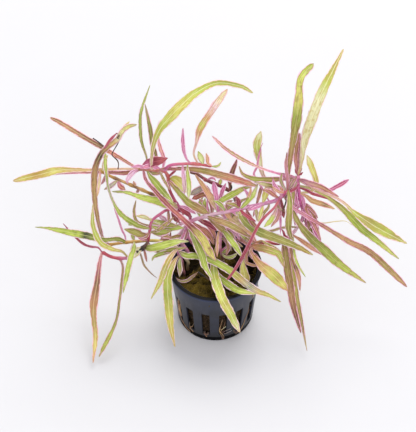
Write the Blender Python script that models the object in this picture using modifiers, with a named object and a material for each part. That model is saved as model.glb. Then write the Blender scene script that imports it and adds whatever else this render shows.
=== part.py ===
"""An aquarium plant with long narrow leaves, growing in a small black net pot filled with mineral wool.

Millimetres in the tables, metres in the model. The origin is the middle of the pot's base, +Z is up,
and the side of the plant that the photograph shows faces -Y.
"""

import math

import bmesh
import bpy
from mathutils import Quaternion, Vector

MM = 0.001

# Pot
POT_HEIGHT = 40.0
RIM_RADIUS = 25.0
RIM_HEIGHT = 1.6
WALL_TOP_RADIUS = 24.2
WALL_FOOT_RADIUS = 20.8
WALL = 1.1
BASE_THICKNESS = 1.4
ROUND_STEPS = 60
SLOT_COUNT = 15
SLOT_WIDTH = 4.4
SLOT_BOTTOM = 7.0
SLOT_TOP = 25.0
FIRST_SLOT_ANGLE = -104.0
DRAIN_COUNT = 6
DRAIN_WIDTH = 3.0
DRAIN_INNER = 7.0
DRAIN_OUTER = 15.5

# Wool plug
GAP = 0.3
WOOL_TOP = 37.2
WOOL_DOME = 0.6
ROOT_DEPTH = 30.0
SOCKET_CLEARANCE = 0.6

# Leaves and stems
LEAF_THICKNESS = 0.5
LEAF_FOLD = 0.22
LEAF_TIP = 0.15
PETIOLE_HALF_WIDTH = 0.35
STATION_SPACING = 7.5
STEM_POINT_SPACING = 4.2
CURVE_SAMPLES = 12

# The eye that saw the photographed side, in the part's own millimetres.
# A photograph point is (column, row), and its sight line is cut at a given height above the floor.
EYE = Vector((-3.7, -356.0, 450.0))
EYE_PITCH = math.radians(46.3)
EYE_ROLL = math.radians(-0.45)
EYE_FOCAL = 1016.0
PHOTO_MIDDLE = (208.0, 216.0)

FORWARD = Vector((0.0, math.cos(EYE_PITCH), -math.sin(EYE_PITCH)))
LEVEL_UP = Vector((0.0, math.sin(EYE_PITCH), math.cos(EYE_PITCH)))
LEVEL_RIGHT = Vector((1.0, 0.0, 0.0))
RIGHT = math.cos(EYE_ROLL) * LEVEL_RIGHT + math.sin(EYE_ROLL) * LEVEL_UP
UP = math.cos(EYE_ROLL) * LEVEL_UP - math.sin(EYE_ROLL) * LEVEL_RIGHT

COLOURS = {
    "pot": (0.048, 0.052, 0.066),
    "wool": (0.060, 0.043, 0.012),
    "green": (0.296, 0.439, 0.067),
    "yellow": (0.584, 0.552, 0.122),
    "olive": (0.330, 0.296, 0.062),
    "tan": (0.515, 0.366, 0.133),
    "brown": (0.352, 0.216, 0.095),
    "rose": (0.584, 0.133, 0.242),
    "red": (0.456, 0.060, 0.102),
    "mauve": (0.503, 0.279, 0.456),
    "gold": (0.584, 0.366, 0.095),
}

# Stems: where each is rooted in the wool (x, y), or the stem that it branches from and the photograph point
# of the fork; then the points it passes, as (column, row, height); its radius at the foot and at the end.
STEMS = {
    "stem_left_back": dict(
        root=(-10, 14),
        points=[(186, 233, 44.5), (188, 225, 49.5), (190, 217, 55.5), (181, 210, 63.5), (174, 199, 73),
                (169, 188, 80), (168, 177, 87), (163, 170.5, 92), (152, 170, 93), (138, 169, 93)],
        radii=(1, 0.75), colour="red"),
    "stem_crossing": dict(
        root=(-15, 12),
        points=[(178, 238, 46), (181, 233, 49.5), (186.5, 225.5, 55), (195, 219.5, 60), (213, 214.5, 67),
                (230, 211, 72), (246, 207.5, 75.5), (262, 204, 78.5), (277, 200, 81.5), (285, 193, 85),
                (288, 190, 86)],
        radii=(1.1, 1), colour="mauve"),
    "stem_right": dict(
        root=(15, 9),
        points=[(262, 243, 46), (280, 243, 52), (292, 234, 59), (302, 220, 67), (303, 211, 72),
                (300, 200, 78), (298, 187, 83.5), (298, 175, 88.5)],
        radii=(1.1, 0.9), colour="rose"),
    "stem_left_gold": dict(
        root=(-15, 5),
        points=[(174, 245, 44.5), (165, 241.5, 47), (150, 240.5, 47), (137, 241.5, 46.5),
                (124, 242.5, 46), (108, 245, 44.5)],
        radii=(0.95, 0.8), colour="gold"),
    "stem_middle": dict(
        root=(4.4, 3.5),
        points=[(222, 256, 42.5), (220, 247, 48.5), (221, 236, 54), (222, 228, 59)],
        radii=(0.9, 0.75), colour="mauve"),
    "stem_front_right": dict(
        root=(16, 2),
        points=[(246, 257, 43.5), (250, 249, 48.5), (255, 243.5, 52), (262, 240.5, 54)],
        radii=(0.9, 0.6), colour="brown"),
    "stem_front": dict(
        root=(0, 2),
        points=[(213, 261, 41), (214, 254, 46), (216, 247, 50)],
        radii=(0.9, 0.7), colour="tan"),
    "stem_front_left": dict(
        root=(-17, -2),
        points=[(181, 258, 43.5), (178.5, 252, 47), (178.5, 248, 49.5)],
        radii=(1, 0.8), colour="rose"),
    "stem_gold_branch": dict(
        fork=("stem_left_back", 176, 204),
        points=[(162, 199, 74), (148, 192.5, 80), (139, 188.5, 82.5), (124, 182, 87), (110, 176, 90.5),
                (100, 171, 94.5)],
        radii=(0.9, 0.7), colour="gold"),
    "stem_left_branch": dict(
        fork=("stem_left_back", 182, 211),
        points=[(168, 210, 67.5), (161, 213.5, 66), (152, 221, 62), (149.5, 232, 56.5),
                (147, 243.5, 50.5), (140, 250, 47), (126, 258, 44.5), (112, 257, 46), (102, 252, 48.5)],
        radii=(0.95, 0.9), colour="red"),
    "stem_top_branch": dict(
        fork=("stem_left_back", 163.5, 170.6),
        points=[(170, 165.5, 97), (182, 164, 99), (197, 164, 100), (212, 166.5, 100)],
        radii=(0.85, 0.7), colour="rose"),
}

# Leaves: the stem and the photograph point of the node that each grows from, the widest width as seen,
# how far along the blade that lies, the blade's turn about its midrib in degrees, its colour, and the
# points along its midrib as (column, row, height).
LEAVES = {
    "leaf_left_1": (
        "stem_left_back", (138, 168), 2.5, 0.45, 0, "tan",
        [(122, 159, 95.5), (105, 149, 96.5), (75, 131, 100), (50, 118, 102.5)]),
    "leaf_left_2": (
        "stem_left_back", (139, 169), 3.7, 0.72, 0, "yellow",
        [(120, 169, 92), (90, 170, 90.5), (60, 170, 88.5), (40, 174.5, 86), (13, 181, 80)]),
    "leaf_left_3": (
        "stem_left_back", (142, 170), 1.8, 0.4, 45, "brown",
        [(127, 172.5, 87), (105, 171, 86), (75, 171, 85), (50, 173.5, 82.5)]),
    "leaf_left_4": (
        "stem_left_gold", (109, 245), 3, 0.55, 0, "olive",
        [(103, 238, 52), (98, 220, 63.5), (94.5, 195, 78), (95, 170, 92), (100, 156, 101.5),
         (106, 148.5, 106), (119, 139.5, 109.5), (137, 125, 114.5)]),
    "leaf_left_5": (
        "stem_left_branch", (128, 257), 2.7, 0.5, 0, "yellow",
        [(122, 251.5, 50.5), (112, 249, 55.5), (100, 242, 62.5), (93, 225, 72), (93, 204, 82.5)]),
    "leaf_left_6": (
        "stem_left_branch", (150.5, 228), 2.9, 0.4, 0, "green",
        [(137, 225, 65), (120, 213, 74), (109.5, 192, 86), (106, 170, 96.5), (105, 152, 101.5)]),
    "leaf_left_7": (
        "stem_left_back", (179, 207), 4, 0.35, 0, "green",
        [(168, 204.5, 75.5), (157, 201, 79), (142, 197.5, 82.5), (127, 192.5, 83.5), (112, 191.5, 81.5)]),
    "leaf_low_left_1": (
        "stem_left_gold", (126, 242.5), 3.6, 0.5, 0, "green",
        [(117, 239, 50.5), (103, 240, 56.5), (88, 236, 57.5), (70, 232.5, 56.5), (50, 228.5, 53),
         (35, 227, 48.5)]),
    "leaf_low_left_2": (
        "stem_left_branch", (102, 252), 4.2, 0.5, 0, "tan",
        [(99.5, 264, 41), (96, 283, 33), (94, 310, 22), (95, 335, 11), (93, 363, 3.5)]),
    "leaf_low_left_3": (
        "stem_left_branch", (120, 258.5), 2.3, 0.4, 35, "olive",
        [(123, 266, 40), (122, 280, 34.5), (119.5, 302, 25), (115, 325, 15.5), (99, 357, 4)]),
    "leaf_low_left_4": (
        "stem_left_gold", (134, 242), 3.2, 0.45, 0, "green",
        [(134, 248, 52), (131, 257, 50), (128, 269, 44.5), (123, 293, 32.5)]),
    "leaf_low_left_5": (
        "stem_left_branch", (144, 246.5), 3.3, 0.5, 0, "green",
        [(151, 248, 53), (162, 245.5, 55.5), (178, 241.5, 55.5), (189, 241.5, 54)]),
    "leaf_top_1": (
        "stem_left_back", (148, 170), 1.9, 0.5, 30, "green",
        [(146, 156, 99), (141, 140, 108.5), (140, 120, 119), (142, 107, 126), (150, 85, 133)]),
    "leaf_top_2": (
        "stem_left_back", (158, 170), 2.6, 0.4, 0, "olive",
        [(156, 155, 96.5), (152.5, 145, 101.5), (150, 128, 109.5), (145, 104, 119)]),
    "leaf_top_3": (
        "stem_left_back", (152, 170), 4.9, 0.5, 0, "yellow",
        [(151.5, 158, 102.5), (154, 143, 113), (160, 129, 120), (170, 117, 126), (182, 104.5, 131),
         (197, 92, 134.5), (217, 83, 135.5), (240, 86, 133), (253, 93, 128.5)]),
    "leaf_top_4": (
        "stem_top_branch", (192, 164), 1.8, 0.6, 0, "rose",
        [(186, 158, 103.5), (183, 145, 112), (183, 128, 120)]),
    "leaf_top_5": (
        "stem_top_branch", (198, 164), 3.1, 0.55, 0, "tan",
        [(194.5, 154, 106), (199.5, 133, 115.5), (208, 117, 122.5), (227, 88, 131)]),
    "leaf_middle_1": (
        "stem_left_back", (144, 170), 4.2, 0.75, 0, "brown",
        [(146, 180, 90.5), (155, 191, 87), (170, 207, 80), (188, 224, 70.5), (202, 238, 61),
         (209, 251, 55), (216, 261, 50.5)]),
    "leaf_middle_2": (
        "stem_left_back", (168, 175), 3.4, 0.5, 0, "olive",
        [(179, 171, 90.5), (200, 169.5, 94.5), (220, 174, 93), (240, 179.5, 90.5), (257, 186, 87)]),
    "leaf_middle_3": (
        "stem_front_right", (256, 243), 4.2, 0.4, 0, "tan",
        [(250, 234, 56.5), (235, 221, 62.5), (226, 213, 66.5), (213, 200, 73), (204, 187, 80),
         (195, 174, 87)]),
    "leaf_middle_4": (
        "stem_crossing", (207, 216), 2.9, 0.5, 0, "olive",
        [(217, 220, 69.5), (230, 225, 68.5), (242, 232, 65), (252, 238, 60)]),
    "leaf_middle_5": (
        "stem_middle", (222, 229), 3, 0.55, 0, "green",
        [(227, 235, 62.5), (233, 243, 60), (238, 250, 56), (242, 257, 52)]),
    "leaf_middle_6": (
        "stem_left_back", (168, 180), 4.5, 0.6, 0, "olive",
        [(177, 190, 86), (188, 202, 80), (200, 209, 74), (208, 213, 70.5)]),
    "leaf_red": (
        "stem_crossing", (281, 197.5), 2.7, 0.5, 0, "red",
        [(273, 208, 82.5), (259, 223, 76.5), (250, 240, 68.5), (243, 256, 60), (232, 272, 52),
         (227, 280, 48.5)]),
    "leaf_right_1": (
        "stem_right", (298, 185), 4.3, 0.65, 0, "green",
        [(310, 188.5, 82.5), (329, 198, 76.5), (345, 211, 71.5), (362, 229, 62.5), (381, 244, 54),
         (399, 259, 46)]),
    "leaf_right_2": (
        "stem_right", (298, 181), 5.8, 0.74, 0, "yellow",
        [(315, 189, 86.5), (340, 200, 82.5), (355, 213, 78), (373, 225, 71.5), (388, 233.5, 66),
         (407, 243.5, 60)]),
    "leaf_right_3": (
        "stem_right", (298, 178), 2.6, 0.45, 0, "brown",
        [(309, 183, 92), (322, 187.5, 90.5), (339, 197, 87)]),
    "leaf_right_4": (
        "stem_crossing", (283, 195.5), 5.2, 0.42, 0, "olive",
        [(290, 205, 79), (298, 222, 72), (311, 238, 63.5), (322, 248, 57.5), (340.5, 265, 47),
         (366, 283, 36)]),
    "leaf_right_5": (
        "stem_crossing", (286, 192), 2.9, 0.4, 0, "brown",
        [(292, 206, 82.5), (303, 214, 78.5), (325, 227, 69.5), (348, 241, 60), (371, 253, 52),
         (401, 281, 38), (407, 287, 35)]),
    "leaf_right_6": (
        "stem_crossing", (238, 209), 3.9, 0.35, 0, "green",
        [(244, 220, 70.5), (256, 230, 67), (270, 236, 63.5), (285, 241.5, 60.5), (300, 248, 56.5),
         (313, 255, 52)]),
    "leaf_right_7": (
        "stem_right", (301, 203), 3, 0.5, 0, "brown",
        [(307, 205, 76.5), (312, 213, 70.5), (316, 228, 62.5), (320, 243, 55.5)]),
    "leaf_right_8": (
        "stem_right", (299, 192), 2.9, 0.5, 0, "olive",
        [(292, 194, 88.5), (289.5, 208, 86), (288, 230, 76.5), (292, 240, 72)]),
    "leaf_right_9": (
        "stem_right", (284, 242), 3.9, 0.55, 0, "brown",
        [(285, 250, 52), (287, 265, 43.5), (290, 285, 34), (293, 305, 25), (297, 320, 18), (301, 333, 12)]),
    "leaf_right_10": (
        "stem_right", (289, 238), 2.4, 0.35, 0, "olive",
        [(291, 255, 44.5), (293, 272, 36), (297, 297, 24), (301, 318, 15), (307, 351, 4)]),
    "leaf_high_1": (
        "stem_crossing", (288, 190), 5, 0.65, 0, "olive",
        [(288, 174, 93), (291.5, 150, 107.5), (296.5, 120, 124), (299, 97, 133), (301, 78, 139),
         (313.5, 63.5, 141.5)]),
    "leaf_high_2": (
        "stem_right", (298, 175), 4.8, 0.55, 0, "yellow",
        [(302, 161, 97), (305, 140, 108), (313, 116, 119), (322, 92, 128), (333, 70, 135),
         (343.5, 49, 140)]),
    "leaf_high_3": (
        "stem_right", (297, 176), 2.2, 0.45, 0, "brown",
        [(296.5, 166, 93), (296, 153, 98), (299, 133, 107.5)]),
    "leaf_high_4": (
        "stem_crossing", (278, 199.5), 2.6, 0.75, 0, "yellow",
        [(271, 186, 83.5), (263, 175, 87), (259, 158, 94.5), (257, 145, 101.5), (261, 131, 108.5)]),
    "leaf_high_5": (
        "stem_crossing", (287, 191), 1.9, 0.5, 35, "rose",
        [(278, 176, 93), (260, 168.5, 96.5), (240, 158, 101.5), (225, 148.5, 106), (212, 136, 112)]),
    "leaf_front_1": (
        "stem_front", (213.5, 257), 4.7, 0.4, 0, "yellow",
        [(214, 273, 44), (216.5, 283, 44.5), (222, 298, 43.5), (226, 306, 38.5), (231, 315, 32),
         (235, 323, 27), (240, 332.5, 21)]),
    "leaf_front_2": (
        "stem_front_left", (178.5, 251), 3.5, 0.5, 0, "green",
        [(186, 255.5, 50.5), (197, 256, 50), (209, 259.5, 49), (221, 265, 47.5), (232, 272, 46),
         (244, 282, 44), (256, 290.5, 42.5), (268, 295, 38.5), (281, 302, 33)]),
    "leaf_front_3": (
        "stem_front", (213.2, 263), 3.4, 0.6, 0, "green",
        [(217, 274, 40.5), (224, 281, 41.5), (232, 287, 43), (240, 291, 44), (256, 294, 42)]),
    "leaf_front_4": (
        "stem_front_right", (250, 249), 5.4, 0.6, 0, "tan",
        [(255, 258, 49.5), (262, 266, 47.5), (273, 275, 43.5), (283, 285, 38), (288, 291, 34)]),
    "leaf_front_5": (
        "stem_front_right", (253, 245.5), 2.7, 0.5, 0, "tan",
        [(264, 248.5, 57.5), (272, 251, 56.5), (279, 255, 53), (284, 267, 44.5)]),
    "leaf_front_6": (
        "stem_front_left", (178.5, 248), 2.9, 0.4, 0, "yellow",
        [(171, 256, 53.5), (165, 268, 50.5), (160, 282, 40), (151, 299, 27)]),
    "leaf_front_7": (
        "stem_front_left", (179.5, 254), 4.5, 0.4, 0, "yellow",
        [(174, 262, 47.5), (168, 276, 44), (167.5, 290, 37), (168.5, 303, 29), (170.5, 325, 15),
         (175, 347, 4)]),
    "leaf_front_8": (
        "stem_crossing", (188, 224), 3.4, 0.5, 0, "green",
        [(193, 235, 56.5), (197, 244, 55.5), (202, 256, 53.5), (205, 266, 51), (213, 280, 48.5)]),
}


def seen(column, row, height):
    """The point at this height on the sight line through this point of the photograph."""
    across = (column - PHOTO_MIDDLE[0]) / EYE_FOCAL
    upward = (PHOTO_MIDDLE[1] - row) / EYE_FOCAL
    sight = FORWARD + across * RIGHT + upward * UP
    return EYE + sight * ((height - EYE.z) / sight.z)


def photo_point(point):
    """Where a point of the part shows in the photograph."""
    sight = point - EYE
    depth = sight.dot(FORWARD)
    column = PHOTO_MIDDLE[0] + EYE_FOCAL * sight.dot(RIGHT) / depth
    row = PHOTO_MIDDLE[1] - EYE_FOCAL * sight.dot(UP) / depth
    return Vector((column, row))


def smooth_path(points, spacing):
    """Points at equal steps of about the spacing along the smooth curve through the given points."""
    ends = [2 * points[0] - points[1]] + points + [2 * points[-1] - points[-2]]
    fine = []
    for i in range(1, len(ends) - 2):
        a, b, c, d = ends[i - 1:i + 3]
        for k in range(CURVE_SAMPLES):
            t = k / CURVE_SAMPLES
            fine.append(0.5 * (2 * b + (c - a) * t + (2 * a - 5 * b + 4 * c - d) * t * t
                               + (3 * b - a - 3 * c + d) * t ** 3))
    fine.append(points[-1].copy())
    reach = [0.0]
    for before, after in zip(fine, fine[1:]):
        reach.append(reach[-1] + (after - before).length)
    count = max(4, round(reach[-1] / spacing))
    path = []
    place = 0
    for i in range(count + 1):
        goal = reach[-1] * i / count
        while place < len(fine) - 2 and reach[place + 1] < goal:
            place += 1
        step = reach[place + 1] - reach[place]
        part = (goal - reach[place]) / step if step else 0.0
        path.append(fine[place].lerp(fine[place + 1], min(1.0, part)))
    return path


def tangents(path):
    """The unit direction of a path at each of its points."""
    last = len(path) - 1
    return [(path[min(last, i + 1)] - path[max(0, i - 1)]).normalized() for i in range(len(path))]


def radius_at(stem, place):
    foot, end = STEMS[stem]["radii"]
    return foot + (end - foot) * place


def node_on(stem, column, row, towards, half_width):
    """The foot of a leaf or a branch: just clear of the stem's skin, on the side that it grows to."""
    path = stem_paths[stem]
    mark = Vector((column, row))
    fine = [a.lerp(b, k / 5) for a, b in zip(path, path[1:]) for k in range(5)] + [path[-1]]
    nearest = min(range(len(fine)), key=lambda i: (photo_point(fine[i]) - mark).length)
    place = nearest / (len(fine) - 1)
    along = tangents(fine)[nearest]
    out = towards - fine[nearest]
    if place < 0.99 or out.dot(along) < 0:
        out -= out.dot(along) * along
    return fine[nearest] + out.normalized() * (radius_at(stem, place) + GAP + half_width)


def material(name, colour):
    found = bpy.data.materials.new(name)
    found.use_nodes = True
    shader = found.node_tree.nodes["Principled BSDF"]
    shader.inputs["Base Color"].default_value = (*COLOURS[colour], 1.0)
    shader.inputs["Metallic"].default_value = 0.0
    shader.inputs["Roughness"].default_value = 0.95 if colour == "wool" else 0.5
    return found


def add(name, data, collection, colour=None):
    made = bpy.data.objects.new(name, data)
    collection.objects.link(made)
    if colour:
        data.materials.append(material(name, colour))
    return made


def turned(name, profile, collection, colour, steps):
    """A closed profile of (radius, height), outer side first from the top down, turned about Z."""
    mesh = bpy.data.meshes.new(name)
    corners = [(radius * MM, 0.0, height * MM) for radius, height in profile]
    edges = [(i, (i + 1) % len(corners)) for i in range(len(corners))]
    mesh.from_pydata(corners, edges, [])
    made = add(name, mesh, collection, colour)
    screw = made.modifiers.new("Turn", "SCREW")
    screw.steps = steps
    screw.render_steps = steps
    screw.use_merge_vertices = True
    screw.merge_threshold = 0.00001
    return made


def cutter(name, made_by):
    """A helper that a Boolean takes away, built by a bmesh function and left out of the part."""
    bm = bmesh.new()
    made_by(bm)
    mesh = bpy.data.meshes.new(name)
    bm.to_mesh(mesh)
    bm.free()
    made = add(name, mesh, cutters)
    made.hide_render = True
    made.display_type = "WIRE"
    return made


def cut(target, tool):
    boolean = target.modifiers.new(tool.name, "BOOLEAN")
    boolean.operation = "DIFFERENCE"
    boolean.solver = "EXACT"
    boolean.object = tool


def put_box(bm, size, centre, angle):
    """A box of this size, moved out to its centre and then turned about Z."""
    corners = bmesh.ops.create_cube(bm, size=1.0)["verts"]
    turn = Quaternion((0.0, 0.0, 1.0), angle)
    for corner in corners:
        placed = Vector([corner.co[i] * size[i] + centre[i] for i in range(3)])
        corner.co = turn @ placed * MM


def make_pot():
    """Moulded pot: tapered wall, turned-out rim, slotted side and drained base."""
    inner_top = RIM_RADIUS - 2.3
    profile = [
        (RIM_RADIUS - 0.5, POT_HEIGHT),
        (RIM_RADIUS, POT_HEIGHT - 0.5),
        (RIM_RADIUS, POT_HEIGHT - RIM_HEIGHT),
        (WALL_TOP_RADIUS, POT_HEIGHT - RIM_HEIGHT - 0.2),
        (WALL_FOOT_RADIUS, 0.8),
        (WALL_FOOT_RADIUS - 0.8, 0.0),
        (0.0, 0.0),
        (0.0, BASE_THICKNESS),
        (WALL_FOOT_RADIUS - WALL - 0.3, BASE_THICKNESS),
        (WALL_TOP_RADIUS - WALL, POT_HEIGHT - RIM_HEIGHT - 1.2),
        (inner_top, POT_HEIGHT - 0.4),
        (inner_top + 0.4, POT_HEIGHT),
    ]
    pot = turned("net_pot", profile, plant, "pot", ROUND_STEPS)

    def slots(bm):
        middle = (WALL_FOOT_RADIUS + WALL_TOP_RADIUS) / 2
        for i in range(SLOT_COUNT):
            angle = math.radians(FIRST_SLOT_ANGLE + 360 * i / SLOT_COUNT)
            size = (8.0, SLOT_WIDTH, SLOT_TOP - SLOT_BOTTOM)
            put_box(bm, size, (middle, 0.0, (SLOT_TOP + SLOT_BOTTOM) / 2), angle)

    def drains(bm):
        for i in range(DRAIN_COUNT):
            angle = 2 * math.pi * (i + 0.5) / DRAIN_COUNT
            size = (DRAIN_OUTER - DRAIN_INNER, DRAIN_WIDTH, 6.0)
            put_box(bm, size, ((DRAIN_OUTER + DRAIN_INNER) / 2, 0.0, 0.0), angle)

    cut(pot, cutter("cut_slots", slots))
    cut(pot, cutter("cut_drains", drains))
    return pot


def make_wool():
    """The plug of mineral wool, a slightly domed cone with a socket where each stem is planted."""
    foot = BASE_THICKNESS + GAP
    foot_radius = WALL_FOOT_RADIUS - WALL - 0.3 - 2 * GAP
    taper = (WALL_TOP_RADIUS - WALL_FOOT_RADIUS) / (POT_HEIGHT - RIM_HEIGHT)
    edge_radius = foot_radius + taper * (WOOL_TOP - foot) - GAP
    profile = [
        (0.0, WOOL_TOP + WOOL_DOME),
        (edge_radius * 0.6, WOOL_TOP + WOOL_DOME * 0.7),
        (edge_radius - 1.0, WOOL_TOP),
        (edge_radius, WOOL_TOP - 1.0),
        (foot_radius, foot + 1.0),
        (foot_radius - 1.0, foot),
        (0.0, foot),
    ]
    wool = turned("wool_plug", profile, plant, "wool", ROUND_STEPS // 2)

    def sockets(bm):
        for row in STEMS.values():
            if "root" not in row:
                continue
            corners = bmesh.ops.create_cone(
                bm, cap_ends=True, segments=8, depth=20.0 * MM,
                radius1=(row["radii"][0] + SOCKET_CLEARANCE) * MM,
                radius2=(row["radii"][0] + SOCKET_CLEARANCE) * MM)["verts"]
            for corner in corners:
                corner.co += Vector((*row["root"], ROOT_DEPTH - GAP + 10.0)) * MM

    cut(wool, cutter("cut_sockets", sockets))
    return wool


def stem_path(name):
    row = STEMS[name]
    points = [seen(*point) for point in row["points"]]
    if "root" in row:
        x, y = row["root"]
        foot = [Vector((x, y, height)) for height in (ROOT_DEPTH, ROOT_DEPTH + 4, WOOL_TOP)]
        return smooth_path(foot + points, STEM_POINT_SPACING)
    stem, column, photo_row = row["fork"]
    foot = node_on(stem, column, photo_row, points[0], row["radii"][0])
    return smooth_path([foot] + points, STEM_POINT_SPACING)


def make_stem(name):
    """A round fleshy stem that tapers a little from its foot to its end."""
    path = stem_paths[name]
    curve = bpy.data.curves.new(name, "CURVE")
    curve.dimensions = "3D"
    curve.bevel_depth = MM
    curve.bevel_resolution = 1
    curve.use_fill_caps = True
    spline = curve.splines.new("POLY")
    spline.points.add(len(path) - 1)
    for i, point in enumerate(path):
        spline.points[i].co = (*(point * MM), 1.0)
        spline.points[i].radius = radius_at(name, i / (len(path) - 1))
    return add(name, curve, plant, STEMS[name]["colour"])


def half_width_at(t, widest, peak):
    """A lance-shaped blade: a narrow stalk, then swelling to its widest at the peak, and down to a point."""
    if t < peak:
        swell = math.sin(0.5 * math.pi * (t / peak) ** 1.15) ** 1.3
        return PETIOLE_HALF_WIDTH + (widest - PETIOLE_HALF_WIDTH) * swell
    fall = math.cos(0.5 * math.pi * ((t - peak) / (1 - peak)) ** 1.25)
    return LEAF_TIP + (widest - LEAF_TIP) * fall


def make_leaf(name):
    """A thin blade along its midrib, folded a little upwards from it, with its face turned to the light."""
    stem, mark, width, peak, turn, colour, marks = LEAVES[name]
    points = [seen(*point) for point in marks]
    foot = node_on(stem, *mark, points[0], PETIOLE_HALF_WIDTH)
    path = smooth_path([foot] + points, STATION_SPACING)
    ways = tangents(path)
    widest = 0.5 * width / math.cos(math.radians(turn))
    last = len(path) - 1
    bm = bmesh.new()
    bmesh.ops.create_grid(bm, x_segments=2, y_segments=last, size=0.5)
    for corner in bm.verts:
        side, t = 2 * corner.co.x, corner.co.y + 0.5
        i = round(t * last)
        across = Quaternion(ways[i], math.radians(turn)) @ ways[i].cross(EYE - path[i]).normalized()
        raised = across.cross(ways[i])
        half = half_width_at(t, widest, peak)
        corner.co = (path[i] + across * side * half + raised * abs(side) * half * LEAF_FOLD) * MM
    mesh = bpy.data.meshes.new(name)
    bm.to_mesh(mesh)
    bm.free()
    blade = add(name, mesh, plant, colour)
    solid = blade.modifiers.new("Thickness", "SOLIDIFY")
    solid.thickness = LEAF_THICKNESS * MM
    solid.offset = 0.0
    mesh.shade_smooth()
    return blade


for leftover in list(bpy.data.objects):
    bpy.data.objects.remove(leftover, do_unlink=True)
plant = bpy.data.collections.new("potted_hygrophila")
cutters = bpy.data.collections.new("cutters")
bpy.context.scene.collection.children.link(plant)
bpy.context.scene.collection.children.link(cutters)

stem_paths = {}
for stem_name in STEMS:
    stem_paths[stem_name] = stem_path(stem_name)

make_pot()
make_wool()
for stem_name in STEMS:
    make_stem(stem_name)
for leaf_name in LEAVES:
    make_leaf(leaf_name)
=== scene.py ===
"""An aquarium plant with long narrow leaves, in a small black net pot filled with mineral wool.

Heights and widths in the tables are millimetres; the scene itself is in metres, with +Z up.
"""

import math

import bmesh
import bpy
from mathutils import Matrix, Quaternion, Vector, noise


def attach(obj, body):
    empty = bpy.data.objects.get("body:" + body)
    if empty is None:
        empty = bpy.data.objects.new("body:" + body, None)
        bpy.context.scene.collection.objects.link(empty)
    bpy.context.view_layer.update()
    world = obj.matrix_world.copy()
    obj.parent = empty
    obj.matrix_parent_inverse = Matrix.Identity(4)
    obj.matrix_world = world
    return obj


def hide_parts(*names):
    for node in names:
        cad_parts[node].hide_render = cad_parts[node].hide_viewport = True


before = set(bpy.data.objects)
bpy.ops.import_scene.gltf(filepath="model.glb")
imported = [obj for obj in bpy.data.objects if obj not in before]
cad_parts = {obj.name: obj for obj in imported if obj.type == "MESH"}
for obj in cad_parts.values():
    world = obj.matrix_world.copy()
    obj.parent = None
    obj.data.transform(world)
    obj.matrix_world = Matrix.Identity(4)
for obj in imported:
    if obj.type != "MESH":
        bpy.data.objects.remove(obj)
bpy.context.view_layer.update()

# Camera: it looks down on the plant from the front at 46 degrees, as the photographer did.
# Every stem and leaf below is placed along its sight lines: a point is (column, row, height),
# a place in the 416 x 432 photograph and the height above the floor at which its line is cut.
MM = 0.001
EYE = Vector((-3.7, -356.0, 450.0))
EYE_PITCH = math.radians(46.3)
EYE_ROLL = math.radians(-0.45)
EYE_FOCAL = 1016.0
PHOTO_SIZE = (416.0, 432.0)
SENSOR_HEIGHT = 36.0

FORWARD = Vector((0.0, math.cos(EYE_PITCH), -math.sin(EYE_PITCH)))
LEVEL_UP = Vector((0.0, math.sin(EYE_PITCH), math.cos(EYE_PITCH)))
LEVEL_RIGHT = Vector((1.0, 0.0, 0.0))
RIGHT = math.cos(EYE_ROLL) * LEVEL_RIGHT + math.sin(EYE_ROLL) * LEVEL_UP
UP = math.cos(EYE_ROLL) * LEVEL_UP - math.sin(EYE_ROLL) * LEVEL_RIGHT


def sight_point(column, row, height):
    """The point at this height, in millimetres, on the sight line through a place in the photograph."""
    across = (column - PHOTO_SIZE[0] / 2) / EYE_FOCAL
    upward = (PHOTO_SIZE[1] / 2 - row) / EYE_FOCAL
    sight = FORWARD + across * RIGHT + upward * UP
    return EYE + sight * ((height - EYE.z) / sight.z)


def photo_place(point):
    """Where a point of the plant shows in the photograph."""
    sight = point - EYE
    depth = sight.dot(FORWARD)
    column = PHOTO_SIZE[0] / 2 + EYE_FOCAL * sight.dot(RIGHT) / depth
    row = PHOTO_SIZE[1] / 2 - EYE_FOCAL * sight.dot(UP) / depth
    return Vector((column, row))


camera = bpy.data.objects.new("camera", bpy.data.cameras.new("camera"))
bpy.context.scene.collection.objects.link(camera)
camera.data.sensor_fit = "VERTICAL"
camera.data.sensor_height = SENSOR_HEIGHT
camera.data.lens = EYE_FOCAL / PHOTO_SIZE[1] * SENSOR_HEIGHT
camera.data.clip_start = 0.01
camera_turn = Matrix((RIGHT, UP, -FORWARD)).transposed().to_4x4()
camera.matrix_world = Matrix.Translation(EYE * MM) @ camera_turn
bpy.context.scene.camera = camera


# Studio: a white paper sweep in a bright white room, with a wide soft light above and behind the plant
# and a weaker one in front, so that only a faint grey-lilac shadow is left around the pot.
PAPER_WHITE = "#CECECE"
PAPER_SHADE = "#CBCBCC"
PULP_SIZE = 25.0
SWEEP_REACH = 2.5


def dye(code):
    """A colour written as sRGB hex, turned to the linear values that the shaders take."""
    parts = [int(code[i:i + 2], 16) / 255 for i in (1, 3, 5)]
    return (*(c / 12.92 if c <= 0.04045 else ((c + 0.055) / 1.055) ** 2.4 for c in parts), 1.0)


def put(tree, kind, *fed, sockets=None, **settings):
    """Adds a node with its settings, and gives its sockets values, or the nodes or outputs that feed them.

    fed goes to the first sockets in order, where None leaves one alone, and sockets names the others.
    A node that feeds a socket does so from the first of its outputs that is in use.
    """
    made = tree.nodes.new(kind)
    for name, value in settings.items():
        setattr(made, name, value)
    for socket, value in [*enumerate(fed), *(sockets or {}).items()]:
        if isinstance(value, bpy.types.Node):
            value = next(output for output in value.outputs if output.enabled)
        if isinstance(value, bpy.types.NodeSocket):
            tree.links.new(value, made.inputs[socket])
        elif value is not None:
            made.inputs[socket].default_value = value
    return made


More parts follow.
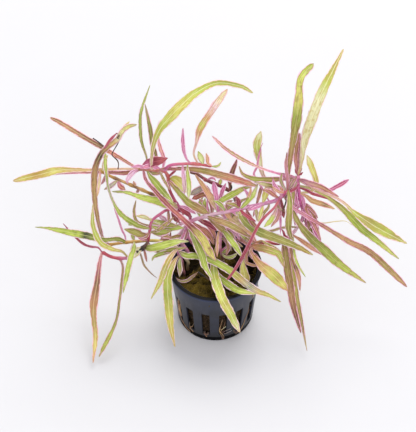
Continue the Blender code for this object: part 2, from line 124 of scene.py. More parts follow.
def new_material(name, fixed):
    """A material, its node tree and its shader, which holds the values that are the same all over."""
    made = bpy.data.materials.new(name)
    made.use_nodes = True
    shader = made.node_tree.nodes["Principled BSDF"]
    for socket, value in fixed.items():
        shader.inputs[socket].default_value = value
    return made, made.node_tree, shader


paper, paper_tree, paper_shader = new_material("matt white sweep paper", {
    "Roughness": 0.9, "Specular IOR Level": 0.1})
pulp = put(paper_tree, "ShaderNodeTexNoise", sockets={"Scale": 1 / (PULP_SIZE * MM), "Detail": 3.0})
tone = put(paper_tree, "ShaderNodeMix", pulp, sockets={6: dye(PAPER_WHITE), 7: dye(PAPER_SHADE)},
           data_type="RGBA")
paper_tree.links.new(tone.outputs[2], paper_shader.inputs["Base Color"])

sweep_mesh = bpy.data.meshes.new("sweep")
sweep_bm = bmesh.new()
bmesh.ops.create_grid(sweep_bm, x_segments=1, y_segments=1, size=SWEEP_REACH)
sweep_bm.to_mesh(sweep_mesh)
sweep_bm.free()
sweep = bpy.data.objects.new("sweep", sweep_mesh)
sweep.data.materials.append(paper)
bpy.context.scene.collection.objects.link(sweep)

for name, place, size, power, tint in (
        ("back_softbox", (0.45, 1.20, 2.20), 1.4, 40.0, "#FFFFFF"),
        ("front_softbox", (0.70, -1.80, 1.80), 1.6, 15.5, "#F8F6FF")):
    lamp = bpy.data.lights.new(name, "AREA")
    lamp.size = size
    lamp.energy = power
    lamp.color = dye(tint)[:3]
    softbox = bpy.data.objects.new(name, lamp)
    softbox.location = place
    softbox.rotation_euler = (-Vector(place)).to_track_quat("-Z", "Y").to_euler()
    bpy.context.scene.collection.objects.link(softbox)

room = bpy.data.worlds.new("white room")
room.use_nodes = True
room.node_tree.nodes["Background"].inputs["Color"].default_value = dye("#FCFBFF")
room.node_tree.nodes["Background"].inputs["Strength"].default_value = 1.01
bpy.context.scene.world = room
bpy.context.scene.view_settings.view_transform = "Standard"


# Net pot: one shot of black polypropylene, a tapered wall with fifteen slots and a drained base.
# The wall leaves the mould with a fine satin skin that the light greys, and the turned-out rim is glossy.
POT_HEIGHT = 40.0
RIM_RADIUS = 25.0
RIM_INNER = 22.7
RIM_HEIGHT = 1.7
WALL_TOP_RADIUS = 24.2
WALL_FOOT_RADIUS = 20.8
WALL = 1.1
SLOT_COUNT = 15
SLOT_COLUMNS = 7
COLUMNS_PER_SLOT = 15
SHADED_FOOT_TOP = 4.0
SLOT_BOTTOM = 6.3
SLOT_TOP = 25.0
WALL_JOINS = (33.0, SLOT_TOP, 16.0, SLOT_BOTTOM, SHADED_FOOT_TOP, 1.2)
FIRST_SLOT_ANGLE = -104.0
DRAIN_COUNT = 6
DRAIN_SHARE = 0.26
DRAIN_INNER = 7.0
DRAIN_OUTER = 15.5
MOULD_ROUND = 0.22
MOULD_GRAIN = 0.35
SCUFF_SIZE = 6.0


def new_tree(name, sockets):
    """A Geometry Nodes tree with these named inputs, and its input and output nodes."""
    tree = bpy.data.node_groups.new(name, "GeometryNodeTree")
    tree.interface.new_socket("Geometry", in_out="INPUT", socket_type="NodeSocketGeometry")
    for label, kind, value in sockets:
        socket = tree.interface.new_socket(label, in_out="INPUT", socket_type="NodeSocket" + kind)
        if value is not None:
            socket.default_value = value
    tree.interface.new_socket("Geometry", in_out="OUTPUT", socket_type="NodeSocketGeometry")
    return tree, put(tree, "NodeGroupInput"), put(tree, "NodeGroupOutput")


def close_tree(tree, leave, shape, skin):
    """Ends a tree: smooth faces, instances made real, and the material set."""
    smooth = put(tree, "GeometryNodeSetShadeSmooth", shape)
    real = put(tree, "GeometryNodeRealizeInstances", smooth)
    dressed = put(tree, "GeometryNodeSetMaterial", real, sockets={"Material": skin})
    tree.links.new(dressed.outputs[0], leave.inputs[0])


def shaped(name, guide, tree, values, finish=None):
    """The plain mesh that a tree makes from a guide mesh, as an object with no modifier left on it."""
    made = bpy.data.objects.new(name, guide)
    bpy.context.scene.collection.objects.link(made)
    modifier = made.modifiers.new(tree.name, "NODES")
    modifier.node_group = tree
    for item in tree.interface.items_tree:
        if item.in_out == "INPUT" and item.name in values:
            modifier[item.identifier] = values[item.name]
    if finish:
        finish(made)
    graph = bpy.context.evaluated_depsgraph_get()
    mesh = bpy.data.meshes.new_from_object(made.evaluated_get(graph), preserve_all_data_layers=True,
                                           depsgraph=graph)
    made.modifiers.clear()
    made.data = mesh
    mesh.name = name
    return made


def outline(name, corners, closed=False):
    """A mesh of edges alone, through (radius, height) corners in the XZ plane."""
    mesh = bpy.data.meshes.new(name)
    count = len(corners)
    edges = [(i, (i + 1) % count) for i in range(count if closed else count - 1)]
    mesh.from_pydata([(radius * MM, 0.0, height * MM) for radius, height in corners], edges, [])
    return mesh


def joined(first, *others):
    """The other objects' meshes made part of the first one's, with their materials."""
    with bpy.context.temp_override(active_object=first, object=first,
                                   selected_editable_objects=[first, *others]):
        bpy.ops.object.join()
    return first


def make_turning_tree():
    """Sweeps a profile round Z in equal columns, and leaves out the faces of its slots and drains."""
    tree, enter, leave = new_tree("turned_moulding", (
        ("Columns", "Int", 225), ("First Angle", "Float", 0.0), ("Column Shift", "Float", 0.0),
        ("Slot Count", "Float", 1.0), ("Slot Share", "Float", 0.0),
        ("Slot Bottom", "Float", 0.0), ("Slot Top", "Float", 0.0),
        ("Drain Count", "Float", 1.0), ("Drain Share", "Float", 0.0),
        ("Drain Inner", "Float", 0.0), ("Drain Outer", "Float", 0.0), ("Skin", "Material", None)))
    value = enter.outputs
    profile = put(tree, "GeometryNodeMeshToCurve", value["Geometry"])
    corners = put(tree, "GeometryNodeStoreNamedAttribute", profile, None, "corner",
                  put(tree, "GeometryNodeInputPosition"), data_type="FLOAT_VECTOR")
    circle = put(tree, "GeometryNodeCurvePrimitiveCircle", value["Columns"])
    factor = put(tree, "GeometryNodeSplineParameter").outputs["Factor"]
    rail = put(tree, "GeometryNodeStoreNamedAttribute", circle, None, "bearing", factor)
    swept = put(tree, "GeometryNodeCurveToMesh", rail, corners)
    start = put(tree, "ShaderNodeMath", value["First Angle"], value["Column Shift"])
    share = put(tree, "GeometryNodeInputNamedAttribute", "bearing")
    angle = put(tree, "ShaderNodeMath", share, 2 * math.pi, start, operation="MULTIPLY_ADD")
    corner = put(tree, "GeometryNodeInputNamedAttribute", "corner", data_type="FLOAT_VECTOR")
    turned = put(tree, "ShaderNodeVectorRotate", corner, sockets={"Angle": angle}, rotation_type="Z_AXIS")
    wall = put(tree, "GeometryNodeSetPosition", swept, None, turned)
    spot = put(tree, "ShaderNodeSeparateXYZ", put(tree, "GeometryNodeInputPosition"))
    flat = put(tree, "ShaderNodeCombineXYZ", spot.outputs[0], spot.outputs[1])
    radius = put(tree, "ShaderNodeVectorMath", flat, operation="LENGTH").outputs["Value"]
    round_z = put(tree, "ShaderNodeMath", spot.outputs[1], spot.outputs[0], operation="ARCTAN2")
    bearing = put(tree, "ShaderNodeMath", round_z, value["First Angle"], operation="SUBTRACT")
    gone = 0.0
    for label, low, high, measure in (("Slot", "Bottom", "Top", spot.outputs[2]),
                                      ("Drain", "Inner", "Outer", radius)):
        steps = put(tree, "ShaderNodeMath", bearing, value[label + " Count"], operation="MULTIPLY")
        turns = put(tree, "ShaderNodeMath", steps, 0.5 / math.pi, 0.5, operation="MULTIPLY_ADD")
        phase = put(tree, "ShaderNodeMath", turns, operation="FRACT")
        swing = put(tree, "ShaderNodeMath", phase, 2.0, -1.0, operation="MULTIPLY_ADD")
        off_middle = put(tree, "ShaderNodeMath", swing, operation="ABSOLUTE")
        near = put(tree, "ShaderNodeMath", off_middle, value[label + " Share"], operation="LESS_THAN")
        above = put(tree, "ShaderNodeMath", measure, value[f"{label} {low}"], operation="GREATER_THAN")
        below = put(tree, "ShaderNodeMath", measure, value[f"{label} {high}"], operation="LESS_THAN")
        within = put(tree, "ShaderNodeMath", above, below, operation="MULTIPLY")
        gone = put(tree, "ShaderNodeMath", near, within, gone, operation="MULTIPLY_ADD")
    pierced = put(tree, "GeometryNodeDeleteGeometry", wall, gone, domain="FACE")
    sewn = put(tree, "GeometryNodeMergeByDistance", pierced, sockets={"Distance": 0.00002})
    close_tree(tree, leave, sewn, value["Skin"])
    return tree


def finish_skin(tree, shader, colour, height, strength, depth, gloss=None):
    """Feeds a shader its colour, the height of a bump this many millimetres deep, and its roughness."""
    bump = put(tree, "ShaderNodeBump", sockets={
        "Height": height, "Strength": strength, "Distance": depth * MM})
    tree.links.new(colour.outputs[2], shader.inputs["Base Color"])
    tree.links.new(bump.outputs[0], shader.inputs["Normal"])
    if gloss:
        tree.links.new(gloss.outputs[0], shader.inputs["Roughness"])


def plastic(name, colour, worn_and_sheen, low, low_top, gloss, roughness, grain_depth):
    """Moulded polypropylene: mould grain, scuffs, a painted sheen near the top, and a low part painted
    another colour.
    """
    made, tree, shader = new_material(name, {"IOR": 1.49, "Specular IOR Level": gloss})
    where = put(tree, "ShaderNodeTexCoord").outputs["Object"]
    height = put(tree, "ShaderNodeSeparateXYZ", where).outputs[2]
    scuff = put(tree, "ShaderNodeTexNoise", where, sockets={
        "Scale": 1 / (SCUFF_SIZE * MM), "Detail": 5.0, "Roughness": 0.7})
    amount = put(tree, "ShaderNodeMapRange", scuff, 0.42, 0.75, 0.0, 0.55)
    scuffed = put(tree, "ShaderNodeMix", amount, sockets={6: dye(colour), 7: dye(worn_and_sheen)}, data_type="RGBA")
    # Painted sheen: the upper band is mixed towards the lighter worn colour, for the white room that it
    # reflects.
    upper_sheen = put(tree, "ShaderNodeMapRange", height, 27.0 * MM, 37.0 * MM, 0.0, 0.5)
    upper_sheened = put(tree, "ShaderNodeMix", upper_sheen, sockets={6: scuffed, 7: dye(worn_and_sheen)}, data_type="RGBA")
    # Its low part takes the low colour: painted shade on the wall near the floor, a painted grey sheen on the
    # rim's outer face.
    below = put(tree, "ShaderNodeMapRange", height, low_top[0] * MM, low_top[1] * MM, 0.97, 0.0)
    low_shade_and_sheen = put(tree, "ShaderNodeMix", below, sockets={6: upper_sheened, 7: dye(low)}, data_type="RGBA")
    rough = put(tree, "ShaderNodeMapRange", scuff, 0.0, 1.0, roughness - 0.06, roughness + 0.1)
    grain = put(tree, "ShaderNodeTexNoise", where, sockets={"Scale": 1 / (MOULD_GRAIN * MM), "Detail": 2.0})
    finish_skin(tree, shader, low_shade_and_sheen, grain, 0.35, grain_depth, rough)
    return made


# Satin skin: fine mould grain, so the window light lies on it as a broad blue-grey bloom; a painted sheen
# lightens it near the top, and painted shade blackens it lower down.
satin_skin = plastic("satin moulded polypropylene", "#161925", "#31364A", "#060608", (3.6, 10.0),
                     0.52, 0.4, 0.05)
# Polished rim: the same plastic from a polished ring of the mould, so its top stays black, while its
# outer face is painted the grey that the lit wall shows, a painted sheen.
glossy_skin = plastic("polished polypropylene rim", "#030304", "#060608", "#383E52", (39.6, 39.95),
                      0.15, 0.5, 0.01)
# Shaded foot: the lowest few millimetres are painted near black and made dull, as painted shade for the
# shadowed floor that they face, so they stay black under any light.
shaded_foot_skin = plastic("polypropylene foot in painted shade", "#050507", "#0A0A0D", "#050507", (0.0, 1.0),
                    0.06, 0.7, 0.05)


def wall_finish(made):
    """Gives the wall its thickness, inwards, and the soft edges that a mould leaves."""
    thickness = made.modifiers.new("Wall", "SOLIDIFY")
    thickness.thickness = WALL * MM
    thickness.offset = -1.0
    edge = made.modifiers.new("Mould edges", "BEVEL")
    edge.width = MOULD_ROUND * MM
    edge.segments = 2
    edge.limit_method = "ANGLE"
    edge.angle_limit = math.radians(40)


turning_tree = make_turning_tree()
wall_top = POT_HEIGHT - RIM_HEIGHT + 0.5
taper = (WALL_TOP_RADIUS - WALL_FOOT_RADIUS) / (POT_HEIGHT - RIM_HEIGHT)
wall_line = [(WALL_TOP_RADIUS, wall_top),
             *((WALL_FOOT_RADIUS + taper * height, height) for height in WALL_JOINS),
             (WALL_FOOT_RADIUS - 0.25, 0.35), (WALL_FOOT_RADIUS - 0.9, 0.0),
             (DRAIN_OUTER, 0.0), (DRAIN_INNER, 0.0), (0.0, 0.0)]
pot = shaped("net_pot_moulding", outline("wall line", wall_line), turning_tree, {
    "Columns": COLUMNS_PER_SLOT * SLOT_COUNT, "First Angle": math.radians(FIRST_SLOT_ANGLE),
    "Column Shift": math.pi / (COLUMNS_PER_SLOT * SLOT_COUNT),
    "Slot Count": float(SLOT_COUNT), "Slot Share": SLOT_COLUMNS / COLUMNS_PER_SLOT,
    "Slot Bottom": SLOT_BOTTOM * MM, "Slot Top": SLOT_TOP * MM,
    "Drain Count": float(DRAIN_COUNT), "Drain Share": DRAIN_SHARE,
    "Drain Inner": DRAIN_INNER * MM, "Drain Outer": DRAIN_OUTER * MM, "Skin": satin_skin}, wall_finish)
# The faces of the lowest few millimetres take the foot's material, which is painted shade.
pot.data.materials.append(shaded_foot_skin)
for face in pot.data.polygons:
    face.material_index = int(face.center.z < SHADED_FOOT_TOP * MM)
rim_line = [(RIM_RADIUS - 0.55, POT_HEIGHT), (RIM_RADIUS - 0.16, POT_HEIGHT - 0.16),
            (RIM_RADIUS, POT_HEIGHT - 0.55), (RIM_RADIUS, POT_HEIGHT - RIM_HEIGHT + 0.3),
            (RIM_RADIUS - 0.2, POT_HEIGHT - RIM_HEIGHT),
            (WALL_TOP_RADIUS - 0.1, POT_HEIGHT - RIM_HEIGHT - 0.1),
            (WALL_TOP_RADIUS - WALL - 0.1, POT_HEIGHT - RIM_HEIGHT - 0.6),
            (RIM_INNER, POT_HEIGHT - RIM_HEIGHT), (RIM_INNER - 0.05, POT_HEIGHT - 0.5),
            (RIM_INNER + 0.3, POT_HEIGHT - 0.1), (RIM_INNER + 0.6, POT_HEIGHT)]
rim = shaped("rim", outline("rim line", rim_line, closed=True), turning_tree, {
    "Columns": COLUMNS_PER_SLOT * SLOT_COUNT, "Skin": glossy_skin})
pot = joined(pot, rim)
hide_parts("net_pot")
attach(pot, "root")


# Wool plug: a cone of mineral wool, spun rock fibre packed round the roots and stained olive brown by
# the tank water. It has sunk away from the wall at the sides, and torn fibres stand up all over it.
WOOL_FOOT = 1.7
WOOL_TOP = 37.4
WOOL_EDGE_RADIUS = 22.3
WOOL_FOOT_RADIUS = 18.8
WOOL_RINGS = 26
WOOL_COLUMNS = 160
WOOL_SHOULDER = 0.7
WOOL_FOOT_ROUND = 1.0
WOOL_TOP_BAND = 0.8
WOOL_CREST = 0.5
WOOL_WALL_GAP = 0.4
WOOL_LUMP = 1.7
LUMP_RISE = 0.8
LUMP_SWELL = 0.6
LUMP_SPACING = 3.2
STAIN_SIZE = 7.0
STRAND_SPACING = 0.8
# Hollows in the top, as x, y, how far each spreads and how deep it is. One is a lump, with a depth below 0.
SUNK_PLACES = ((-15.5, 9.0, 8.5, 8.0), (-17.5, 1.5, 6.0, 6.0), (-14.2, 3.6, 1.7, -3.6),
               (13.0, -4.5, 4.2, 3.6), (19.0, 9.0, 9.0, 7.5), (19.5, -3.0, 6.0, 5.5), (9.5, 2.5, 4.0, 4.5),
               (6.0, 15.0, 7.0, 4.0), (19.0, -9.0, 5.0, 3.8))
PITS = ((-3.5, -15.5, 1.3, 3.0), (-8.0, -14.0, 1.0, 1.6), (2.5, -18.0, 1.2, 2.0), (-11.5, -10.0, 1.4, 2.2),
        (6.5, -14.5, 1.5, 2.6), (-5.5, -10.5, 1.1, 1.8), (11.0, -11.5, 1.3, 2.4), (-1.0, -12.0, 0.9, 1.5),
        (-14.5, -6.0, 1.6, 2.8), (8.5, -8.0, 1.7, 3.2), (15.5, -3.0, 1.8, 3.0), (-9.0, -6.0, 1.5, 2.6))
FIBRES_PER_SQUARE_METRE = 420000.0
FIBRE_BEND = ((0, 0, -0.3), (0.9, 0, 1.1), (2.4, 0.7, 0.4))
FIBRE_REACH = 2.6
FIBRE_STEPS = 5
FIBRE_LENGTH = 3.0
FIBRE_RADIUS = 0.13
FIBRE_FOOT = 4.6


def mineral_wool(name, dark, middle, light, deep, deep_light):
    """Matt spun fibre: tangled strands a fifth of a millimetre wide, drawn coarse enough to show.

    Its hollows are painted darker, as painted shade, and low down, where it fills the slots, it is brown with
    roots.
    """
    made, tree, shader = new_material(name, {"Roughness": 0.9, "Specular IOR Level": 0.12})
    where = put(tree, "ShaderNodeTexCoord").outputs["Object"]
    height = put(tree, "ShaderNodeSeparateXYZ", where).outputs[2]
    stain = put(tree, "ShaderNodeTexNoise", where, sockets={"Scale": 1 / (STAIN_SIZE * MM), "Detail": 4.0})
    strand = put(tree, "ShaderNodeTexNoise", where, sockets={
        "Scale": 1 / (STRAND_SPACING * MM), "Detail": 4.0, "Roughness": 0.75, "Distortion": 1.6})
    wet = put(tree, "ShaderNodeMapRange", stain, 0.36, 0.6)
    ground = put(tree, "ShaderNodeMix", wet, sockets={6: dye(dark), 7: dye(middle)}, data_type="RGBA")
    raised = put(tree, "ShaderNodeMapRange", strand, 0.5, 0.72, 0.0, 0.6)
    lit = put(tree, "ShaderNodeMix", raised, sockets={6: ground, 7: dye(light)}, data_type="RGBA")
    # Painted shade: the top is darkened where it sinks into its hollows and pits.
    hollow = put(tree, "ShaderNodeMapRange", height, 31.0 * MM, 36.7 * MM, 0.88, 0.0)
    shaded = put(tree, "ShaderNodeMix", hollow, sockets={6: lit, 7: dye(deep)}, data_type="RGBA")
    matted = put(tree, "ShaderNodeMapRange", strand, 0.44, 0.66, 0.0, 1.0)
    rooty = put(tree, "ShaderNodeMix", matted, sockets={6: dye(deep), 7: dye(deep_light)}, data_type="RGBA")
    low = put(tree, "ShaderNodeMapRange", height, 25.0 * MM, 28.0 * MM, 1.0, 0.0)
    brown = put(tree, "ShaderNodeMix", low, sockets={6: shaded, 7: rooty}, data_type="RGBA")
    finish_skin(tree, shader, brown, strand, 0.9, 0.5)
    return made


def make_wool_surface():
    """The plug's skin: a turned cone whose top is pulled down where it has sunk, lumpy all over."""
    rings = []
    for i in range(WOOL_RINGS):
        rings.append((WOOL_EDGE_RADIUS * i / WOOL_RINGS, WOOL_TOP))
    for i in range(WOOL_RINGS):
        t = i / (WOOL_RINGS - 1)
        rings.append((WOOL_EDGE_RADIUS + (WOOL_FOOT_RADIUS - WOOL_EDGE_RADIUS) * t,
                      WOOL_TOP - WOOL_SHOULDER + (WOOL_FOOT + WOOL_SHOULDER - WOOL_TOP) * t))
    rings.append((WOOL_FOOT_RADIUS - WOOL_FOOT_ROUND, WOOL_FOOT))
    rings.append((0.0, WOOL_FOOT))
    rings.reverse()
    made = shaped("wool_cone", outline("wool line", rings), turning_tree, {
        "Columns": WOOL_COLUMNS, "Skin": wool_skin})
    for corner in made.data.vertices:
        point = corner.co / MM
        reach = math.hypot(point.x, point.y)
        lump = noise.fractal(point / LUMP_SPACING, 0.9, 2.0, 4) * WOOL_LUMP
        if point.z > WOOL_TOP - WOOL_TOP_BAND:
            for x, y, spread, depth in SUNK_PLACES + PITS:
                away = math.hypot(point.x - x, point.y - y) / spread
                point.z -= depth * math.exp(-away ** 4)
            point.z = min(point.z + lump * LUMP_RISE, WOOL_TOP + WOOL_CREST)
        else:
            inward = max(0.0, WOOL_WALL_GAP - lump * LUMP_SWELL)
            point.x *= 1 - inward / max(reach, 1.0)
            point.y *= 1 - inward / max(reach, 1.0)
        corner.co = point * MM
    return made


def make_fibre_tree():
    """Scatters bent fibres on the faces of a surface, leaning every way, each a three-sided thread."""
    tree, enter, leave = new_tree("torn_fibres", (
        ("Density", "Float", 1.0), ("Length", "Float", 0.002), ("Radius", "Float", 0.0001),
        ("Seed", "Int", 3), ("Foot", "Float", 0.0), ("Skin", "Material", None)))
    value = enter.outputs
    height = put(tree, "ShaderNodeSeparateXYZ", put(tree, "GeometryNodeInputPosition")).outputs[2]
    clear = put(tree, "FunctionNodeCompare", height, value["Foot"], operation="GREATER_THAN")
    spots = put(tree, "GeometryNodeDistributePointsOnFaces", value["Geometry"], sockets={
        "Selection": clear, "Density": value["Density"], "Seed": value["Seed"]})
    bend = [tuple(size * MM for size in place) for place in FIBRE_BEND]
    thread = put(tree, "GeometryNodeCurveQuadraticBezier", FIBRE_STEPS, *bend)
    ring = put(tree, "GeometryNodeCurvePrimitiveCircle", 3, sockets={"Radius": value["Radius"]})
    strand = put(tree, "GeometryNodeCurveToMesh", thread, ring, sockets={"Fill Caps": True})
    turn = put(tree, "FunctionNodeRandomValue", (-0.5, -0.5, 0.0), (0.5, 0.5, 2 * math.pi), sockets={
        "Seed": value["Seed"]}, data_type="FLOAT_VECTOR")
    sway = put(tree, "FunctionNodeEulerToRotation", turn)
    lean = put(tree, "FunctionNodeRotateRotation", spots.outputs["Rotation"], sway, rotation_space="LOCAL")
    size = put(tree, "FunctionNodeRandomValue", sockets={2: 0.45, 3: 1.3, "Seed": value["Seed"]})
    ratio = put(tree, "ShaderNodeMath", value["Length"], FIBRE_REACH * MM, operation="DIVIDE")
    scale = put(tree, "ShaderNodeMath", size, ratio, operation="MULTIPLY")
    placed = put(tree, "GeometryNodeInstanceOnPoints", spots, sockets={
        "Instance": strand, "Rotation": lean, "Scale": scale})
    close_tree(tree, leave, placed, value["Skin"])
    return tree


wool_skin = mineral_wool("tank-stained mineral wool", "#1A1408", "#5A4A16", "#8E7830", "#150F09", "#66513C")
fibre_skin = mineral_wool("torn mineral wool fibre", "#3E3214", "#80692E", "#BCA668", "#33260F", "#8A704C")
wool = make_wool_surface()
fibres = shaped("torn_fibres", wool.data.copy(), make_fibre_tree(), {
    "Density": FIBRES_PER_SQUARE_METRE, "Length": FIBRE_LENGTH * MM, "Radius": FIBRE_RADIUS * MM, "Seed": 11,
    "Foot": FIBRE_FOOT * MM, "Skin": fibre_skin})
wool = joined(wool, fibres)
wool.name = "mineral_wool_plug"
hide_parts("wool_plug")
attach(wool, "root")


# Stems: fleshy water-plant stems, a joint of the plant between each pair of leaves, swollen where they sit.
# They are smooth and a little four-sided, and their skin runs from lilac through magenta to rotten black.
SHADES = {
    "lilac": "#E3C7D3", "mauve": "#C583A8", "pink": "#D98CB0", "rose": "#C2648A", "magenta": "#BE5A92",
    "crimson": "#B04652", "maroon": "#7E3040", "coral": "#C86C68", "salmon": "#DDAA80", "tan": "#C29C66",
    "ochre": "#B4893F", "brown": "#AB805A", "umber": "#6E4B38", "rot": "#2C2622", "olive": "#A0944C",
    "moss": "#82883A", "green": "#96A440", "leaf": "#AFBD4E", "lime": "#BDCC5A", "yellow": "#CEC967",
    "cream": "#DDD9AC", "pale": "#DBDAB0", "stone": "#A8A0A0"}
CURVE_SAMPLES = 12
STEM_STEP = 0.9
STEM_SIDES = 14
STEM_RIDGE = 0.05
NODE_SWELL = 0.32
NODE_LENGTH = 1.3
STEM_WAIST = 0.94
STEM_END = 0.5
STRAND_LENGTH = 5.0
STEM_STRAND = 0.35
BLOTCH_SIZE = 3.5
PATTERN_LENGTH = 60.0
ROOT_HEIGHTS = (30.0, 34.0, 37.2)
# A row gives a stem's slot, where it starts, its first and last radius, the places of its nodes along
# it, its tints and its points. It starts in the wool at x and y, or in the stem that it forks from.
STEMS = """
stem_left_back stem_red wool -10 14 | 1 0.75 | 0.46 0.51 0.55 0.75 0.79 0.84 0.88 0.94 0.99
    | umber, pink 0.2, rose 0.42, rose 0.55, crimson 0.7, coral 0.82, brown
    | 186 233 44.5, 188 225 49.5, 190 217 55.5, 181 210 63.5, 174 199 73, 169 188 80, 168 177 87,
    163 170.5 92, 152 170 93, 138 169 93
stem_crossing stem_mauve wool -15 12 | 1.1 1 | 0.33 0.47 0.68 0.92 0.98
    | umber, pink 0.1, lilac 0.2, pink 0.36, lilac 0.5, pink 0.66, mauve 0.85, magenta 0.93, crimson
    | 178 238 46, 181 233 49.5, 186.5 225.5 55, 195 219.5 60, 213 214.5 67, 230 211 72, 246 207.5 75.5,
    262 204 78.5, 277 200 81.5, 285 193 85, 288 190 86
stem_right stem_red wool 15 9 | 1.1 0.9 | 0.47 0.51 0.81 0.89 0.93 0.98
    | umber, coral 0.25, crimson 0.42, pink 0.5, lilac 0.6, magenta 0.75, magenta 0.9, pink
    | 262 243 46, 280 243 52, 292 234 59, 302 220 67, 303 211 72, 300 200 78, 298 187 83.5, 298 175 88.5
stem_left_gold stem_gold wool -15 5 | 0.95 0.8 | 0.74 0.82 0.98
    | umber, cream 0.35, yellow 0.5, ochre 0.65, ochre
    | 174 245 44.5, 165 241.5 47, 150 240.5 47, 137 241.5 46.5, 124 242.5 46, 108 245 44.5
stem_middle stem_mauve wool 4.4 3.5 | 0.9 0.75 | 0.97 | rot, umber 0.42, rose 0.6, pink
    | 222 256 42.5, 220 247 48.5, 221 236 54, 222 228 59
stem_front_right stem_gold wool 16 2 | 0.9 0.6 | 0.69 0.8 0.89 | umber, coral 0.4, brown
    | 246 257 43.5, 250 249 48.5, 255 243.5 52, 262 240.5 54
stem_front stem_gold wool 0 2 | 0.9 0.7 | 0.48 0.68 | umber, tan 0.4, olive
    | 213 261 41, 214 254 46, 216 247 50
stem_front_left stem_red wool -17 -2 | 1 0.8 | 0.8 0.92 1 | rot, umber 0.5, mauve 0.78, magenta
    | 181 258 43.5, 178.5 252 47, 178.5 248 49.5
stem_gold_branch stem_gold stem_left_back 176 204 | 0.9 0.7 | 0.34 0.46 0.6 0.8
    | coral, ochre 0.15, tan 0.28, umber 0.35, ochre 0.4, tan 0.5, umber 0.56, ochre 0.62, tan 0.7,
    umber 0.78, ochre 0.85, ochre
    | 162 199 74, 148 192.5 80, 139 188.5 82.5, 124 182 87, 110 176 90.5, 100 171 94.5
stem_left_branch stem_red stem_left_back 182 211 | 0.72 0.9 | 0.4 0.59 0.76 0.83 1
    | crimson, rose 0.3, crimson 0.5, maroon 0.54, rot 0.57, rot 0.64, stone 0.68, mauve 0.76,
    crimson 0.86, crimson
    | 168 210 67.5, 161 213.5 66, 152 221 62, 149.5 232 56.5, 147 243.5 50.5, 140 250 47, 126 258 44.5,
    112 257 46, 102 252 48.5
stem_top_branch stem_red stem_left_back 163.5 170.6 | 0.85 0.7 | 0.66 0.74
    | magenta, rose 0.3, coral 0.65, crimson | 170 165.5 97, 182 164 99, 197 164 100, 212 166.5 100
"""


def numbers(words):
    """The numbers in a row of words."""
    return [float(word) for word in words.split()]


def rows_of(table):
    """The rows of a table, cut into fields at the bars, where an indented line carries on the one above."""
    return [row.split(" | ") for row in table.strip().replace("\n    ", " ").splitlines()]


def sight_points(places):
    """The points of a field such as "186 233 44.5, 188 225 49.5": each a column, a row and a height."""
    return [sight_point(*numbers(place)) for place in places.split(", ")]


def nearest_joint(stem, column, row):
    """The point of a stem that shows nearest to this place in the photograph."""
    spot = Vector((column, row))
    return min(stem_paths[stem], key=lambda point: (photo_place(point) - spot).length)


def smooth_path(points, spacing):
    """Points at equal steps of about the spacing along the smooth curve through the given points."""
    ends = [2 * points[0] - points[1]] + points + [2 * points[-1] - points[-2]]
    fine = []
    for i in range(1, len(ends) - 2):
        a, b, c, d = ends[i - 1:i + 3]
        for k in range(CURVE_SAMPLES):
            t = k / CURVE_SAMPLES
            fine.append(0.5 * (2 * b + (c - a) * t + (2 * a - 5 * b + 4 * c - d) * t * t
                               + (3 * b - a - 3 * c + d) * t ** 3))
    fine.append(points[-1].copy())
    reach = [0.0]
    for before, after in zip(fine, fine[1:]):
        reach.append(reach[-1] + (after - before).length)
    count = max(4, round(reach[-1] / spacing))
    path = []
    place = 0
    for i in range(count + 1):
        goal = reach[-1] * i / count
        while place < len(fine) - 2 and reach[place + 1] < goal:
            place += 1
        step = reach[place + 1] - reach[place]
        part = (goal - reach[place]) / step if step else 0.0
        path.append(fine[place].lerp(fine[place + 1], min(1.0, part)))
    return path


def tangents(path):
    """The unit direction of a path at each of its points."""
    last = len(path) - 1
    return [(path[min(last, i + 1)] - path[max(0, i - 1)]).normalized() for i in range(len(path))]


def tinted(tints, share):
    """The colour at this share of the length, from words such as "rose, coral 0.4, umber".

    A word's number is its place along the piece. The first needs none at 0, nor the last at 1.
    """
    words = tints.split(", ")
    stops = [(0.0, SHADES[words[0].split()[0]])]
    for word in words[1:] or words:
        shade, *place = word.split()
        stops.append((float(place[0]) if place else 1.0, SHADES[shade]))
    after = next((i for i, stop in enumerate(stops) if stop[0] >= share), len(stops) - 1)
    before = max(0, after - 1)
    gap = stops[after][0] - stops[before][0]
    part = min(1.0, max(0.0, (share - stops[before][0]) / gap)) if gap else 0.0
    return Vector(dye(stops[before][1])).lerp(Vector(dye(stops[after][1])), part)


def rail(points, halves, thicks, tints, turn=0.0):
    """What the sweeps need at each point of a path: a frame that faces the light, two sizes and a tint."""
    ways = tangents(points)
    last = len(points) - 1
    stations = []
    # Each run starts its pattern somewhere else, so that no two leaves are marked alike.
    along = 3.0 * (points[0].x + points[-1].y) % PATTERN_LENGTH
    for i, point in enumerate(points):
        along += (point - points[max(0, i - 1)]).length
        light = (EYE - point).normalized()
        side = Quaternion(ways[i], math.radians(turn)) @ light.cross(ways[i]).normalized()
        stations.append((point * MM, side, ways[i].cross(side), halves[i] * MM, thicks[i] * MM, along * MM,
                         tinted(tints, i / last)))
    return stations


def rail_mesh(name, rails):
    """A mesh of edges alone, one run for each rail, that holds what each point of it is given."""
    mesh = bpy.data.meshes.new(name)
    stations = [station for stations in rails for station in stations]
    edges = []
    first = 0
    for stations_of_one in rails:
        edges += [(first + i, first + i + 1) for i in range(len(stations_of_one) - 1)]
        first += len(stations_of_one)
    mesh.from_pydata([station[0] for station in stations], edges, [])
    for place, (label, kind, field) in enumerate((
            ("spine", "FLOAT_VECTOR", "vector"), ("side", "FLOAT_VECTOR", "vector"),
            ("face", "FLOAT_VECTOR", "vector"), ("half", "FLOAT", "value"), ("thick", "FLOAT", "value"),
            ("along", "FLOAT", "value"), ("tint", "FLOAT_COLOR", "color"))):
        layer = mesh.attributes.new(label, kind, "POINT")
        for i, station in enumerate(stations):
            setattr(layer.data[i], field, station[place])
    return mesh


